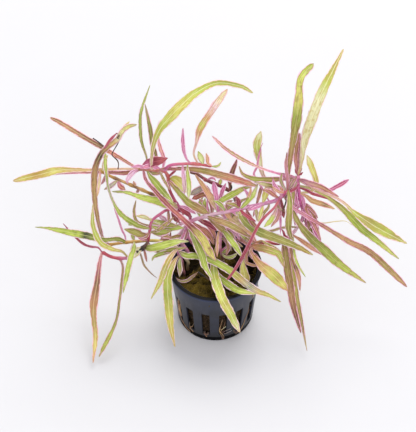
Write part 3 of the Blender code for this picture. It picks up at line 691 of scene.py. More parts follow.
def open_sweep(name, sockets, sides):
    """Starts a tree that sweeps a round section of this many sides along rails, closed at both ends."""
    tree, enter, leave = new_tree(name, (*sockets, ("Skin", "Material", None)))
    rails = put(tree, "GeometryNodeMeshToCurve", enter.outputs["Geometry"])
    ring = put(tree, "GeometryNodeCurvePrimitiveCircle", sides)
    factor = put(tree, "GeometryNodeSplineParameter").outputs["Factor"]
    turns = put(tree, "ShaderNodeMath", factor, 2 * math.pi, operation="MULTIPLY")
    section = put(tree, "GeometryNodeStoreNamedAttribute", ring, None, "turn", turns)
    swept = put(tree, "GeometryNodeCurveToMesh", rails, section, sockets={"Fill Caps": True})
    kept = {}
    for label, kind in (("spine", "FLOAT_VECTOR"), ("side", "FLOAT_VECTOR"), ("face", "FLOAT_VECTOR"),
                        ("half", "FLOAT"), ("thick", "FLOAT"), ("along", "FLOAT"), ("turn", "FLOAT")):
        kept[label] = put(tree, "GeometryNodeInputNamedAttribute", label, data_type=kind)
    kept["across"] = put(tree, "ShaderNodeMath", kept["turn"], operation="COSINE")
    kept["upward"] = put(tree, "ShaderNodeMath", kept["turn"], operation="SINE")
    return tree, enter.outputs, leave, swept, kept


def close_sweep(tree, leave, swept, kept, sideways, lifted, skin):
    """Ends a sweep: each point moves sideways and up from its spine, and keeps its place on the skin."""
    part = put(tree, "ShaderNodeVectorMath", kept["side"], sockets={"Scale": sideways}, operation="SCALE")
    rise = put(tree, "ShaderNodeVectorMath", kept["face"], sockets={"Scale": lifted}, operation="SCALE")
    offset = put(tree, "ShaderNodeVectorMath", part, rise, operation="ADD")
    place = put(tree, "ShaderNodeVectorMath", kept["spine"], offset, operation="ADD")
    moved = put(tree, "GeometryNodeSetPosition", swept, None, place)
    reach = put(tree, "ShaderNodeMath", sideways, operation="ABSOLUTE")
    inward = put(tree, "ShaderNodeMath", kept["half"], reach, operation="SUBTRACT")
    skin_place = put(tree, "ShaderNodeCombineXYZ", kept["along"], sideways, inward)
    marked = put(tree, "GeometryNodeStoreNamedAttribute", moved, None, "skin_place", skin_place,
                 data_type="FLOAT_VECTOR")
    close_tree(tree, leave, marked, skin)
    return tree


def make_stem_tree():
    """A fleshy stem: a round section with four soft ridges."""
    tree, value, leave, swept, kept = open_sweep("fleshy_stem", (("Ridge", "Float", 0.05),), STEM_SIDES)
    fourfold = put(tree, "ShaderNodeMath", kept["turn"], 4.0, operation="MULTIPLY")
    wave = put(tree, "ShaderNodeMath", fourfold, operation="COSINE")
    swell = put(tree, "ShaderNodeMath", wave, value["Ridge"], 1.0, operation="MULTIPLY_ADD")
    radius = put(tree, "ShaderNodeMath", swell, kept["half"], operation="MULTIPLY")
    sideways = put(tree, "ShaderNodeMath", radius, kept["across"], operation="MULTIPLY")
    lifted = put(tree, "ShaderNodeMath", radius, kept["upward"], operation="MULTIPLY")
    return close_sweep(tree, leave, swept, kept, sideways, lifted, value["Skin"])


def stem_skin(name, dark, light):
    """Smooth, waxy, watery stem skin: gloss from the wax, and fine strands that run its whole length."""
    made, tree, shader = new_material(name, {
        "IOR": 1.42, "Subsurface Weight": 0.12, "Subsurface Radius": (1.0, 0.5, 0.4),
        "Subsurface Scale": 0.8 * MM})
    tint = put(tree, "ShaderNodeAttribute", attribute_name="tint")
    place = put(tree, "ShaderNodeAttribute", attribute_name="skin_place").outputs["Vector"]
    drawn = put(tree, "ShaderNodeMapping", place, sockets={
        "Scale": (1 / (STRAND_LENGTH * MM), 1 / (STEM_STRAND * MM), 0.0)})
    strand = put(tree, "ShaderNodeTexNoise", drawn, sockets={"Scale": 1.0, "Detail": 3.0})
    where = put(tree, "ShaderNodeTexCoord").outputs["Object"]
    blotch = put(tree, "ShaderNodeTexNoise", where, sockets={"Scale": 1 / (BLOTCH_SIZE * MM), "Detail": 3.0})
    deep = put(tree, "ShaderNodeMapRange", strand, 0.5, 0.3, 0.0, 0.6)
    streaked = put(tree, "ShaderNodeMix", deep, sockets={6: tint, 7: dye(dark)}, data_type="RGBA")
    bright = put(tree, "ShaderNodeMapRange", blotch, 0.5, 0.7, 0.0, 0.35)
    lit = put(tree, "ShaderNodeMix", bright, sockets={6: streaked, 7: dye(light)}, data_type="RGBA")
    gloss = put(tree, "ShaderNodeMapRange", blotch, 0.3, 0.7, 0.32, 0.46)
    finish_skin(tree, shader, lit, strand, 0.5, 0.12, gloss)
    return made


# Waxy stem skin, red where light reaches it, mauve and half clear in shade, golden where it ages.
stem_skins = {
    "stem_red": stem_skin("waxy crimson stem skin", "#6E2238", "#E58FA6"),
    "stem_mauve": stem_skin("waxy mauve stem skin", "#9A5A80", "#F2E2EA"),
    "stem_gold": stem_skin("waxy golden stem skin", "#7A5426", "#E0C088")}
stem_tree = make_stem_tree()
stem_paths = {}
for start, ends, nodes, tints, places in rows_of(STEMS):
    name, slot, parent, *spot = start.split()
    if parent == "wool":
        marks = [Vector((float(spot[0]), float(spot[1]), height)) for height in ROOT_HEIGHTS]
    else:
        marks = [nearest_joint(parent, float(spot[0]), float(spot[1]))]
    path = smooth_path(marks + sight_points(places), STEM_STEP)
    stem_paths[name] = path
    last = len(path) - 1
    first_radius, last_radius = numbers(ends)
    radii = []
    for i in range(last + 1):
        t = i / last
        swell = sum(math.exp(-((t - node) * last * STEM_STEP / NODE_LENGTH) ** 2) for node in numbers(nodes))
        radius = first_radius + (last_radius - first_radius) * t
        radii.append(radius * (STEM_WAIST + NODE_SWELL * min(1.0, swell)) * (1.0 if i < last else STEM_END))
    stem = shaped(name + "_flesh", rail_mesh(name, [rail(path, radii, radii, tints)]), stem_tree, {
        "Ridge": STEM_RIDGE, "Skin": stem_skins[slot]})
    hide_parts(name)
    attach(stem, "root")


# Leaves: long lance-shaped blades grown under water, each on a short stalk from a joint of its stem.
# The blade is thin and soft, folded up a little along its pale midrib, green to olive and brown with
# age, with a rosy margin where the leaf is going clear.
LEAF_STEP = 1.1
LEAF_SIDES = 18
LEAF_FULLNESS = 1.15
LEAF_STALK = 0.35
LEAF_TIP = 0.12
LEAF_THICKNESS = 0.17
STALK_THICKNESS = 0.4
STALK_LENGTH = 4.0
BASE_SWELL = 1.2
TIP_DRAW = 1.4
TIP_FULLNESS = 0.8
BLUNT_SHARE = 0.55
BLUNT_STEPS = 4.0
BLUNT_SPAN = 1.3
LEAF_FOLD = 0.2
MIDRIB_DEPTH = 0.16
MARGIN_RIPPLE = 0.16
RIPPLE_LENGTH = 7.0
RIBBED_HALF = 0.8
VEIN_SPACING = 2.8
LEAF_STRAND = 0.5
DECAY_SIZE = 2.2
# How far in from the margin, or out from the midrib, each band starts to fade and ends.
BRONZE_BAND = (0.4, 0.8)
CLEAR_EDGE = (0.1, 0.36)
MIDRIB_EDGE = (0.08, 0.26)
# Where half the blade is narrower than this, towards a tip, the midrib and margin fade.
NARROW_TIP = (0.35, 0.9)
# A row gives a leaf's slot, its stem, the joint's column and row, how far the blade turns in degrees,
# its widths (or its widest and where that comes), its tints and its points.
LEAVES = """
leaf_left_1 leaf_tan stem_left_back 138 168 0 | 1.2 1.7 2.1 2.4 2.5 2.5 2.4 1.8
    | rose, maroon 0.15, coral 0.3, umber 0.36, umber 0.6, brown 0.8, umber
    | 122 159 95.5, 105 149 96.5, 90 140.5 98.3, 75 131.5 100, 62 123.5 101.5, 50 117.5 102.5
leaf_left_2 leaf_yellow stem_left_back 139 169 0 | 1 1.2 1.3 1.5 1.8 2.2 3.2 3.9 3.6 3 1.8
    | pink, salmon 0.35, tan 0.5, yellow 0.65, ochre 0.8, yellow 0.9, tan
    | 120 169 92, 90 170 90.5, 60 170 88.5, 40 174.5 86, 13 181 80
leaf_left_3 leaf_brown stem_left_back 142 170 20 | 1 2 2.1 1.6 1.4 1.4 1.5 1.3 0.8
    | brown, maroon 0.35, maroon 0.5, rose 0.7, maroon
    | 127 173 87, 105 172.5 87.5, 90 172.3 87.5, 75 172.5 87, 60 173.2 86.5, 50 174.8 85
leaf_left_4 leaf_olive stem_left_gold 109 245 0 | 0.8 1.1 1.8 2.1 2.2 2.5 3 3.1 2.9 2.7 2.6 2.6 2.4 1.4
    | rose, mauve 0.1, brown 0.25, tan 0.5, brown 0.6, umber 0.66, rot 0.7, brown 0.75, tan 0.82,
    pale 0.86, yellow 0.95, pale
    | 103 238 52, 98 220 63.5, 94.5 195 78, 95 170 92, 100 156 101.5, 106 148.5 106, 113 143 108.3,
    118.5 138 110.3, 122 131.5 112.5, 129 126.3 114, 137 124.5 114.8
leaf_left_5 leaf_yellow stem_left_branch 128 257 0 | 2.7 0.5 | olive, yellow 0.3, leaf 0.6, green
    | 122 251.5 50.5, 112 249 55.5, 100 242 62.5, 93 225 72, 93 204 82.5
leaf_left_6 leaf_green stem_left_branch 150.5 228 0 | 1 2.4 2.8 2.5 1.5 1.3 1.5 2 1.4
    | olive, green 0.25, leaf 0.45, stone 0.6, moss 0.75, leaf 0.9, leaf
    | 137 225 65, 120 213 74, 109.5 192 86, 106 170 96.5, 105 152 101.5
leaf_left_7 leaf_green stem_left_back 179 207 0 | 1.2 3.4 4.2 4.1 3.6 3 2.2 1.5 0.6
    | pink, lime 0.25, lime 0.7, green
    | 168 204.5 75.5, 157 201 79, 142 197.5 82.5, 127 192.5 83.5, 112 191.5 81.5
leaf_low_left_1 leaf_green stem_left_gold 126 242.5 0 | 2 2.4 2.2 2.8 3.5 3.7 3.3 2.8 2 1 0.4
    | moss, moss 0.38, rot 0.42, rot 0.45, leaf 0.5, leaf 0.9, green
    | 117 239 50.5, 103 240 56.5, 88 236 57.5, 70 232.5 56.5, 50 228.5 53, 35 227 48.5
leaf_low_left_2 leaf_tan stem_left_branch 102 252 0
    | 1.2 1.7 2.3 2.7 3.1 3.7 4.2 3.4 2.8 2.7 2.7 2.4 1.4 0.5
    | mauve, rose 0.1, umber 0.3, brown 0.45, olive 0.65, yellow 0.85, ochre
    | 99.5 264 41, 97 283 33, 93.5 305 24, 94 320 17.5, 95.5 337 10.5, 93 363 3.5
leaf_low_left_3 leaf_olive stem_left_branch 120 258.5 35 | 0.9 1.3 1.4 1.4 1.4 1.5 1.5 1.8 2.4 2.2 0.5
    | mauve, brown 0.15, olive 0.3, moss 0.6, leaf 0.8, green
    | 123 266 40, 122 280 34.5, 119.5 302 25, 115 325 15.5, 99 357 4
leaf_low_left_4 leaf_green stem_left_gold 134 242 0 | 2.9 0.5 | green, lime 0.5, lime
    | 134 248 52, 131 257 50, 128 269 44.5, 123 293 32.5
leaf_low_left_5 leaf_green stem_left_branch 144 246.5 0 | 2 3.2 3.8 4 4 3.8 3.2 1.6 0.4
    | rot, moss 0.12, leaf 0.35, lime 0.7, pale | 151 248 53, 162 245.5 55.5, 178 241.5 55.5, 189 241.5 54
leaf_top_1 leaf_green stem_left_back 148 170 30 | 1.7 0.5 | brown, moss 0.3, green 0.6, leaf
    | 146 156 99, 141 140 108.5, 140 120 119, 142 107 126, 150 85 133
leaf_top_2 leaf_olive stem_left_back 158 170 0 | 2.2 0.45 | umber, moss 0.3, moss
    | 156 155 96.5, 152.5 145 101.5, 150 128 109.5, 145 104 119
leaf_top_3 leaf_yellow stem_left_back 152 170 0 | 1.2 1.4 1.6 2.2 3.1 4.1 4.8 4.6 3.8 3 2.7 2.5 2.1 1.2
    | mauve, olive 0.15, leaf 0.35, yellow 0.5, leaf 0.65, green 0.85, leaf
    | 151.5 158 102.5, 154 143 113, 160 129 120, 170 117 126, 182 104.5 131, 197 92 134.5, 217 83 135.5,
    240 86 133, 253 93 128.5
leaf_top_4 leaf_rose stem_top_branch 192 164 0 | 1.8 0.6 | pink, rose
    | 186 158 103.5, 183 145 112, 183 128 120
leaf_top_5 leaf_tan stem_top_branch 198 164 0 | 0.9 0.9 1 1.1 1.7 3 3.4 3 2.9 3.2 3.1 2.4 1.3
    | mauve, pale 0.1, lilac 0.25, tan 0.42, leaf 0.5, tan 0.6, lilac 0.74, cream 0.86, cream 0.95, tan
    | 193.8 154 106, 196.5 142 112, 200.5 128 118, 211 112 124, 220 99 128.5, 227.5 89 131
leaf_middle_1 leaf_brown stem_left_back 144 170 0 | 1.2 1.6 2.1 2.4 2.3 2.4 2.8 3.5 4.1 3.8 1.2
    | rose, maroon 0.15, coral 0.5, maroon 0.62, yellow 0.74, yellow
    | 146 180 90.5, 155 191 87, 170 207 80, 188 224 70.5, 202 238 61, 209 251 55, 216 261 50.5
leaf_middle_2 leaf_olive stem_left_back 163 170.5 0 | 1.5 1.7 2 2.6 3.2 3.6 3.6 3 1.6
    | umber, brown 0.3, olive 0.45, brown 0.6, coral 0.85, brown
    | 175 168.5 91.5, 190 169 94.5, 205 171 95, 222 175.5 93.5, 240 180.5 90.5, 257 186 87
leaf_middle_3 leaf_tan stem_front_right 256 243 0 | 1.6 3 4.2 4.9 4.9 4.3 3 2.2 0.8
    | mauve, salmon 0.12, cream 0.3, salmon 0.42, cream 0.58, salmon 0.75, tan 0.9, brown
    | 250 234 56.5, 235 221 62.5, 226 213 66.5, 213 200 73, 204 187 80, 195 174 87
leaf_middle_4 leaf_olive stem_crossing 207 216 0 | 3.3 0.5 | olive, brown 0.4, olive 0.6, brown 0.8, umber
    | 217 220 69.5, 230 225 68.5, 242 232 65, 252 238 60
leaf_middle_5 leaf_green stem_middle 222 229 0 | 3 0.55 | olive, moss 0.3, lime 0.6, lime
    | 227 235 62.5, 233 243 60, 238 250 56, 242 257 52
leaf_middle_6 leaf_olive stem_left_back 168 180 0 | 1.2 2 2.5 3 3.6 4 3.8 2.8
    | rose, olive 0.2, green 0.45, olive 0.65, brown 0.8, olive
    | 177 190 86, 188 202 80, 200 209 74, 208 213 70.5
leaf_red leaf_red stem_crossing 281 197.5 0 | 1 1.2 1.3 1.4 1.5 1.5 1.4 1
    | rose, coral 0.1, crimson 0.35, maroon 0.8, crimson
    | 274 208 82.5, 262 220 78, 255 231.5 73, 250.5 241 68.5, 243 256 60, 233.5 271.5 52, 227 280 48.5
leaf_right_1 leaf_green stem_right 298 185 0 | 1.1 1.5 1.8 2.2 2.9 3.6 3.7 3.3 2.8 2.1 0.9
    | cream, yellow 0.15, olive 0.35, leaf 0.5, green 0.66, leaf 0.76, yellow 0.9, leaf
    | 310 188.5 82.5, 329 198 76.5, 345 211 71.5, 362 229 62.5, 381 244 54, 399 259 46
leaf_right_2 leaf_yellow stem_right 298 181 0 | 0.8 0.8 0.9 1.1 1.4 1.8 3.2 4.8 5.3 4.6 2.9 0.6
    | pink, pink 0.35, leaf 0.5, olive 0.62, leaf 0.8, olive 0.9, leaf
    | 315 189 86.5, 340 200 82.5, 355 213 78, 373 225 71.5, 388 233.5 66, 407 243.5 60
leaf_right_3 leaf_brown stem_right 298 178 0 | 2.6 0.45 | rose, mauve 0.2, brown 0.6, coral
    | 309 183 92, 322 187.5 90.5, 339 197 87
leaf_right_4 leaf_olive stem_crossing 283 195.5 0 | 1.2 2 2.7 3.5 4.2 4.7 4.4 3.5 2.4 0.8
    | rose, olive 0.15, moss 0.4, green 0.6, leaf 0.8, yellow
    | 290 205 79, 298 222 72, 311 238 63.5, 322 248 57.5, 340.5 265 47, 366 283 36
leaf_right_5 leaf_brown stem_crossing 286 192 0 | 1.2 1.6 1.8 1.8 2 2.4 2.8 3.1 3.2 3.1 2.7 1.3
    | pink, pink 0.15, rose 0.25, brown 0.36, tan 0.5, brown 0.64, olive 0.8, tan
    | 292 206 82.5, 303 214 78.5, 325 227 69.5, 348 241 60, 371 253 52, 401 281 38, 407 287 35
leaf_right_6 leaf_green stem_crossing 238 209 0 | 1.5 3.4 4.1 4.4 4.3 4.1 3.7 3 2.2 1.2
    | olive, moss 0.3, olive 0.45, olive 0.7, ochre 0.92, yellow
    | 244 220 70.5, 256 230 67, 270 236 63.5, 285 241.5 60.5, 300 248 56.5, 313 255 52
leaf_right_7 leaf_brown stem_right 301 203 0 | 3 0.5 | mauve, brown 0.3, brown
    | 307 205 76.5, 312 213 70.5, 316 228 62.5, 320 243 55.5
leaf_right_8 leaf_olive stem_crossing 288 190 0 | 1.4 2 2.6 3.1 3.2 3.2 2.6 2
    | olive, moss 0.3, olive 0.6, moss 0.8, umber | 289.5 200 86.5, 289.5 212 84, 288.5 228 77, 292 240 72
leaf_right_9 leaf_brown stem_right 284 242 0 | 2 3.2 3.6 3.8 3.8 3.6 3.2 2.6 1.8 1
    | olive, olive 0.3, brown 0.6, umber 0.8, rot 0.93, umber
    | 285 250 52, 287 265 43.5, 290 285 34, 293 305 25, 297 320 18, 301 333 12
leaf_right_10 leaf_olive stem_right 289 238 0 | 2.4 0.35
    | olive, yellow 0.4, olive 0.7, umber 0.85, yellow 0.95, tan
    | 291 255 44.5, 293 272 36, 297 297 24, 301 318 15, 307 351 4
leaf_high_1 leaf_olive stem_crossing 288 190 0 | 1.4 1.9 2.6 2.8 3.3 4.6 4.3 3.2 3.2 2.6
    | coral, olive 0.12, brown 0.25, olive 0.45, green 0.58, yellow 0.7, leaf 0.9, green
    | 288 174 93, 291.5 150 107.5, 296.5 120 124, 299 97 133, 301 78 139, 313.5 63.5 141.1
leaf_high_2 leaf_yellow stem_right 298 175 0 | 1 1.3 1.9 3.4 4.3 4.8 4.6 4.6 4 3 1.9 1.1
    | tan, pale 0.2, cream 0.42, pale 0.58, leaf 0.72, olive 0.86, olive
    | 302 161 97, 305 140 108, 313 116 119, 322 92 128, 333 70 135, 343.5 49 140
leaf_high_3 leaf_brown stem_right 297 176 0 | 2.2 0.45 | rose, brown 0.6, tan
    | 296.5 166 93, 296 153 98, 299 133 107.5
leaf_high_4 leaf_yellow stem_crossing 278 199.5 0 | 1 1.2 1.5 1.8 2.2 3 3.8 3.7 2
    | pink, mauve 0.35, pale 0.55, leaf 0.75, pale
    | 271 186 83.5, 263 175 87, 259 158 94.5, 257 145 101.5, 261 131 108.5
leaf_high_5 leaf_rose stem_crossing 287 191 35 | 0.8 0.9 1 1.1 1.3 1.8 2.1 2 1.6 0.9
    | crimson, rose 0.28, tan 0.4, olive 0.55, olive 0.82, tan 0.92, pale
    | 287 183 87.5, 283.5 176.3 91.5, 275 172.8 93.8, 260 168 96.6, 240 158.3 101.5, 225 148.5 106,
    212 136 112
leaf_front_1 leaf_yellow stem_front 213.5 257 0 | 1.4 3.2 4.4 4.7 4.4 4.2 4.1 3.9 3 0.8
    | olive, green 0.2, leaf 0.42, yellow 0.66, leaf 0.8, cream 0.95, brown
    | 214 273 44, 216.5 283 44.5, 222 298 43.5, 226 306 38.5, 231 315 32, 235 323 27, 240 332.5 21
leaf_front_2 leaf_green stem_front_left 178.5 251 0 | 1 2.8 3.2 3.2 3.4 3.5 3.5 3.4 3.2 2.6 1.8 0.5
    | mauve, green 0.1, leaf 0.5, tan 0.6, stone 0.7, tan 0.78, yellow 0.9, ochre
    | 186 255.5 50.5, 197 256 50, 209 259.5 49, 221 265 47.5, 232 272 46, 244 282 44, 256 290.5 42.5,
    268 295 38.5, 281 302 33
leaf_front_3 leaf_green stem_front 213.2 263 0 | 3.4 0.6 | olive, green 0.3, leaf 0.7, yellow
    | 217 274 40.5, 224 281 41.5, 232 287 43, 240 291 44, 256 294 42
leaf_front_4 leaf_tan stem_front_right 250 249 0 | 1.2 1.8 3 4.4 5.6 5.4 3.8 1
    | rose, ochre 0.2, tan 0.35, yellow 0.55, leaf 0.7, yellow 0.85, ochre
    | 255 258 49.5, 262 266 47.5, 273 275 43.5, 283 285 38, 288 291 34
leaf_front_5 leaf_tan stem_front_right 253 245.5 0 | 1.6 3.4 3.8 3.8 3.4 2.4 0.6
    | coral, tan 0.2, olive 0.4, leaf 0.6, green | 264 248.5 57.5, 272 251 56.5, 279 255 53, 284 267 44.5
leaf_front_6 leaf_yellow stem_front_left 178.5 248 0 | 2.9 0.4 | pink, tan 0.2, olive 0.4, yellow 0.65, leaf
    | 171 256 53.5, 165 268 50.5, 160 282 40, 151 299 27
leaf_front_7 leaf_yellow stem_front_left 179.5 254 0 | 4.5 0.4
    | pink, salmon 0.1, leaf 0.22, green 0.45, yellow 0.7, ochre
    | 174 262 47.5, 168 276 44, 167.5 290 37, 168.5 303 29, 170.5 325 15, 175 347 4
leaf_front_8 leaf_green stem_crossing 188 224 0 | 1.2 2.6 3.2 3.6 3.8 3.4 2.2 0.6
    | moss, moss 0.4, green 0.7, leaf | 193 235 56.5, 197 244 55.5, 202 256 53.5, 205 266 51, 213 280 48.5
"""


def half_widths(count, widths, turn):
    """Half the blade's width at each point of its rail, from a row of widths or its widest and peak."""
    full = 0.5 * LEAF_FULLNESS / math.cos(math.radians(turn))
    widest, peak = widths[:2]
    halves = []
    for i in range(count):
        t = i / (count - 1)
        if len(widths) > 2:
            spot = t * (len(widths) - 1)
            low = min(int(spot), len(widths) - 2)
            part = spot - low
            half = full * (widths[low] + (widths[low + 1] - widths[low]) * part * part * (3 - 2 * part))
        elif t < peak:
            swell = math.sin(0.5 * math.pi * t / peak) ** BASE_SWELL
            half = LEAF_STALK + (full * widest - LEAF_STALK) * swell
        else:
            beyond = ((t - peak) / (1 - peak)) ** TIP_DRAW
            half = full * widest * math.cos(0.5 * math.pi * beyond) ** TIP_FULLNESS
        halves.append(half)
    # The last few millimetres close in a blunt curve, as wide as the blade is there.
    blunt = max(1.0, min(BLUNT_STEPS, BLUNT_SPAN * halves[-4] / LEAF_STEP + 1.0))
    for i in range(count):
        left = (count - 1 - i) / blunt
        if left < 1.0:
            halves[i] = max(halves[i], BLUNT_SHARE * halves[-5]) * math.sqrt(max(0.0, left * (2.0 - left)))
    return [max(LEAF_TIP, half) for half in halves]


def blade_rail(foot, turn, widths, tints, points):
    """The rail of one leaf, whose stalk starts inside the stem at its foot."""
    path = smooth_path([foot] + points, LEAF_STEP)
    halves = half_widths(len(path), widths, turn)
    thicks = [min(half, LEAF_THICKNESS + STALK_THICKNESS * math.exp(-i * LEAF_STEP / STALK_LENGTH))
              for i, half in enumerate(halves)]
    return rail(path, halves, thicks, tints, turn)


def make_blade_tree():
    """A leaf blade: a flat lens of a section, folded up from a sunk midrib, with an uneven rippled margin."""
    tree, value, leave, swept, kept = open_sweep("leaf_blade", (
        ("Fold", "Float", 0.2), ("Midrib Depth", "Float", 0.0001), ("Ripple", "Float", 0.1),
        ("Ripple Length", "Float", 0.007), ("Seed", "Float", 0.0)), LEAF_SIDES)
    steps = put(tree, "ShaderNodeMath", kept["along"], value["Ripple Length"], operation="DIVIDE")
    spot = put(tree, "ShaderNodeCombineXYZ", steps, kept["across"], value["Seed"])
    uneven = put(tree, "ShaderNodeTexNoise", spot, sockets={"Scale": 1.9, "Detail": 3.0})
    swing = put(tree, "ShaderNodeMath", uneven, -0.5, operation="ADD")
    stretch = put(tree, "ShaderNodeMath", swing, 0.8, 1.0, operation="MULTIPLY_ADD")
    width = put(tree, "ShaderNodeMath", kept["half"], stretch, operation="MULTIPLY")
    sideways = put(tree, "ShaderNodeMath", width, kept["across"], operation="MULTIPLY")
    squared = put(tree, "ShaderNodeMath", kept["across"], kept["across"], operation="MULTIPLY")
    softened = put(tree, "ShaderNodeMath", squared, 0.01, operation="ADD")
    arch = put(tree, "ShaderNodeMath", softened, operation="SQRT")
    gull = put(tree, "ShaderNodeMath", arch, -0.1, operation="ADD")
    folded = put(tree, "ShaderNodeMath", gull, value["Fold"], operation="MULTIPLY")
    waves = put(tree, "ShaderNodeTexNoise", spot, sockets={"Scale": 1.0, "Detail": 1.0})
    crest = put(tree, "ShaderNodeMath", waves, -0.5, operation="ADD")
    ripple = put(tree, "ShaderNodeMath", crest, value["Ripple"], operation="MULTIPLY")
    shape = put(tree, "ShaderNodeMath", ripple, squared, folded, operation="MULTIPLY_ADD")
    skinny = put(tree, "ShaderNodeMath", kept["upward"], kept["thick"], operation="MULTIPLY")
    bent = put(tree, "ShaderNodeMath", shape, kept["half"], skinny, operation="MULTIPLY_ADD")
    near = put(tree, "ShaderNodeMath", squared, 0.04, operation="LESS_THAN")
    broad = put(tree, "ShaderNodeMath", kept["half"], RIBBED_HALF * MM, operation="GREATER_THAN")
    rib = put(tree, "ShaderNodeMath", near, broad, operation="MULTIPLY")
    sunk = put(tree, "ShaderNodeMath", rib, value["Midrib Depth"], operation="MULTIPLY")
    lifted = put(tree, "ShaderNodeMath", bent, sunk, operation="SUBTRACT")
    return close_sweep(tree, leave, swept, kept, sideways, lifted, value["Skin"])


def leaf_skin(name, vein, fleck, margin):
    """Thin wet leaf blade: waxy gloss, a pale midrib and side veins, flecks of decay and a rosy margin."""
    made, tree, shader = new_material(name, {
        "IOR": 1.4, "Subsurface Weight": 0.15, "Subsurface Radius": (1.0, 1.0, 0.4),
        "Subsurface Scale": 0.5 * MM})
    tint = put(tree, "ShaderNodeAttribute", attribute_name="tint")
    place = put(tree, "ShaderNodeAttribute", attribute_name="skin_place").outputs["Vector"]
    axis = put(tree, "ShaderNodeSeparateXYZ", place)
    where = put(tree, "ShaderNodeTexCoord").outputs["Object"]
    drawn = put(tree, "ShaderNodeMapping", place, sockets={
        "Scale": (1 / (STRAND_LENGTH * MM), 1 / (LEAF_STRAND * MM), 0.0)})
    strand = put(tree, "ShaderNodeTexNoise", drawn, sockets={"Scale": 1.0, "Detail": 3.0})
    patch = put(tree, "ShaderNodeTexNoise", where, sockets={
        "Scale": 1 / (DECAY_SIZE * MM), "Detail": 4.0, "Roughness": 0.65})
    dark = put(tree, "ShaderNodeMapRange", strand, 0.5, 0.34, 0.0, 0.7)
    streaked = put(tree, "ShaderNodeMix", dark, sockets={6: tint, 7: dye(fleck)}, data_type="RGBA")
    clear = put(tree, "ShaderNodeMapRange", strand, 0.54, 0.72, 0.0, 0.4)
    striped = put(tree, "ShaderNodeMix", clear, sockets={6: streaked, 7: dye(vein)}, data_type="RGBA")
    spoiled = put(tree, "ShaderNodeMapRange", patch, 0.53, 0.68, 0.0, 0.6)
    flecked = put(tree, "ShaderNodeMix", spoiled, sockets={6: striped, 7: dye(fleck)}, data_type="RGBA")
    rim = put(tree, "ShaderNodeMapRange", axis.outputs[2], BRONZE_BAND[0] * MM, BRONZE_BAND[1] * MM,
              0.6, 0.0)
    bronzed = put(tree, "ShaderNodeMix", rim, sockets={6: flecked, 7: dye(fleck)}, data_type="RGBA")
    # Side veins leave the midrib at about 30 degrees, drawn twice as wide as real ones so that they show.
    reach = put(tree, "ShaderNodeMath", axis.outputs[1], operation="ABSOLUTE")
    slant = put(tree, "ShaderNodeMath", reach, -1.7, axis.outputs[0], operation="MULTIPLY_ADD")
    count = put(tree, "ShaderNodeMath", slant, VEIN_SPACING * MM, operation="DIVIDE")
    phase = put(tree, "ShaderNodeMath", count, operation="FRACT")
    middle = put(tree, "ShaderNodeMath", phase, -0.5, operation="ADD")
    away = put(tree, "ShaderNodeMath", middle, operation="ABSOLUTE")
    veins = put(tree, "ShaderNodeMapRange", away, 0.0, 0.12, 0.09, 0.0)
    span = put(tree, "ShaderNodeMath", reach, axis.outputs[2])
    wide = put(tree, "ShaderNodeMapRange", span, NARROW_TIP[0] * MM, NARROW_TIP[1] * MM, 0.05, 0.55)
    midrib = put(tree, "ShaderNodeMapRange", reach, MIDRIB_EDGE[0] * MM, MIDRIB_EDGE[1] * MM, wide, 0.0)
    paler = put(tree, "ShaderNodeMath", veins, midrib, operation="MAXIMUM")
    veined = put(tree, "ShaderNodeMix", paler, sockets={6: bronzed, 7: dye(vein)}, data_type="RGBA")
    fray = put(tree, "ShaderNodeMapRange", patch, 0.3, 0.7, -0.15 * MM, 0.3 * MM)
    inward = put(tree, "ShaderNodeMath", axis.outputs[2], fray, operation="SUBTRACT")
    tip = put(tree, "ShaderNodeMapRange", span, NARROW_TIP[0] * MM, NARROW_TIP[1] * MM, 0.15, 0.9)
    edge = put(tree, "ShaderNodeMapRange", inward, CLEAR_EDGE[0] * MM, CLEAR_EDGE[1] * MM, tip, 0.0)
    edged = put(tree, "ShaderNodeMix", edge, sockets={6: veined, 7: dye(margin)}, data_type="RGBA")
    gloss = put(tree, "ShaderNodeMapRange", patch, 0.3, 0.7, 0.36, 0.52)
    height = put(tree, "ShaderNodeMath", paler, -0.6, strand, operation="MULTIPLY_ADD")
    finish_skin(tree, shader, edged, height, 0.6, 0.15, gloss)
    return made


# Leaf skins: the same wet blade at each age, from fresh green through yellow and olive to brown and red.
leaf_skins = {
    "leaf_green": leaf_skin("fresh green leaf blade", "#D8E090", "#7E8636", "#EFCCD8"),
    "leaf_yellow": leaf_skin("yellowing leaf blade", "#F1EDBC", "#B49E48", "#F1D0D4"),
    "leaf_olive": leaf_skin("olive leaf blade", "#CFC484", "#7E6238", "#E8B8CA"),
    "leaf_tan": leaf_skin("faded tan leaf blade", "#ECD29E", "#B27854", "#EEBFCA"),
    "leaf_brown": leaf_skin("browned leaf blade", "#D2AE88", "#80483E", "#E6ABC0"),
    "leaf_rose": leaf_skin("rosy young leaf blade", "#EEBAD0", "#A45074", "#F2C8DE"),
    "leaf_red": leaf_skin("crimson leaf blade", "#CC6A74", "#7E2836", "#CC8494")}
blade_tree = make_blade_tree()
blade_form = {"Fold": LEAF_FOLD, "Midrib Depth": MIDRIB_DEPTH * MM, "Ripple": MARGIN_RIPPLE,
              "Ripple Length": RIPPLE_LENGTH * MM}
for seed, (start, widths, tints, places) in enumerate(rows_of(LEAVES)):
    name, slot, stem, *spot = start.split()
    column, row, turn = map(float, spot)
    line = blade_rail(nearest_joint(stem, column, row), turn, numbers(widths), tints, sight_points(places))
    blade = shaped(name + "_blade", rail_mesh(name, [line]), blade_tree, {
        **blade_form, "Seed": 3.7 * seed, "Skin": leaf_skins[slot]})
    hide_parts(name)
    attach(blade, "root")


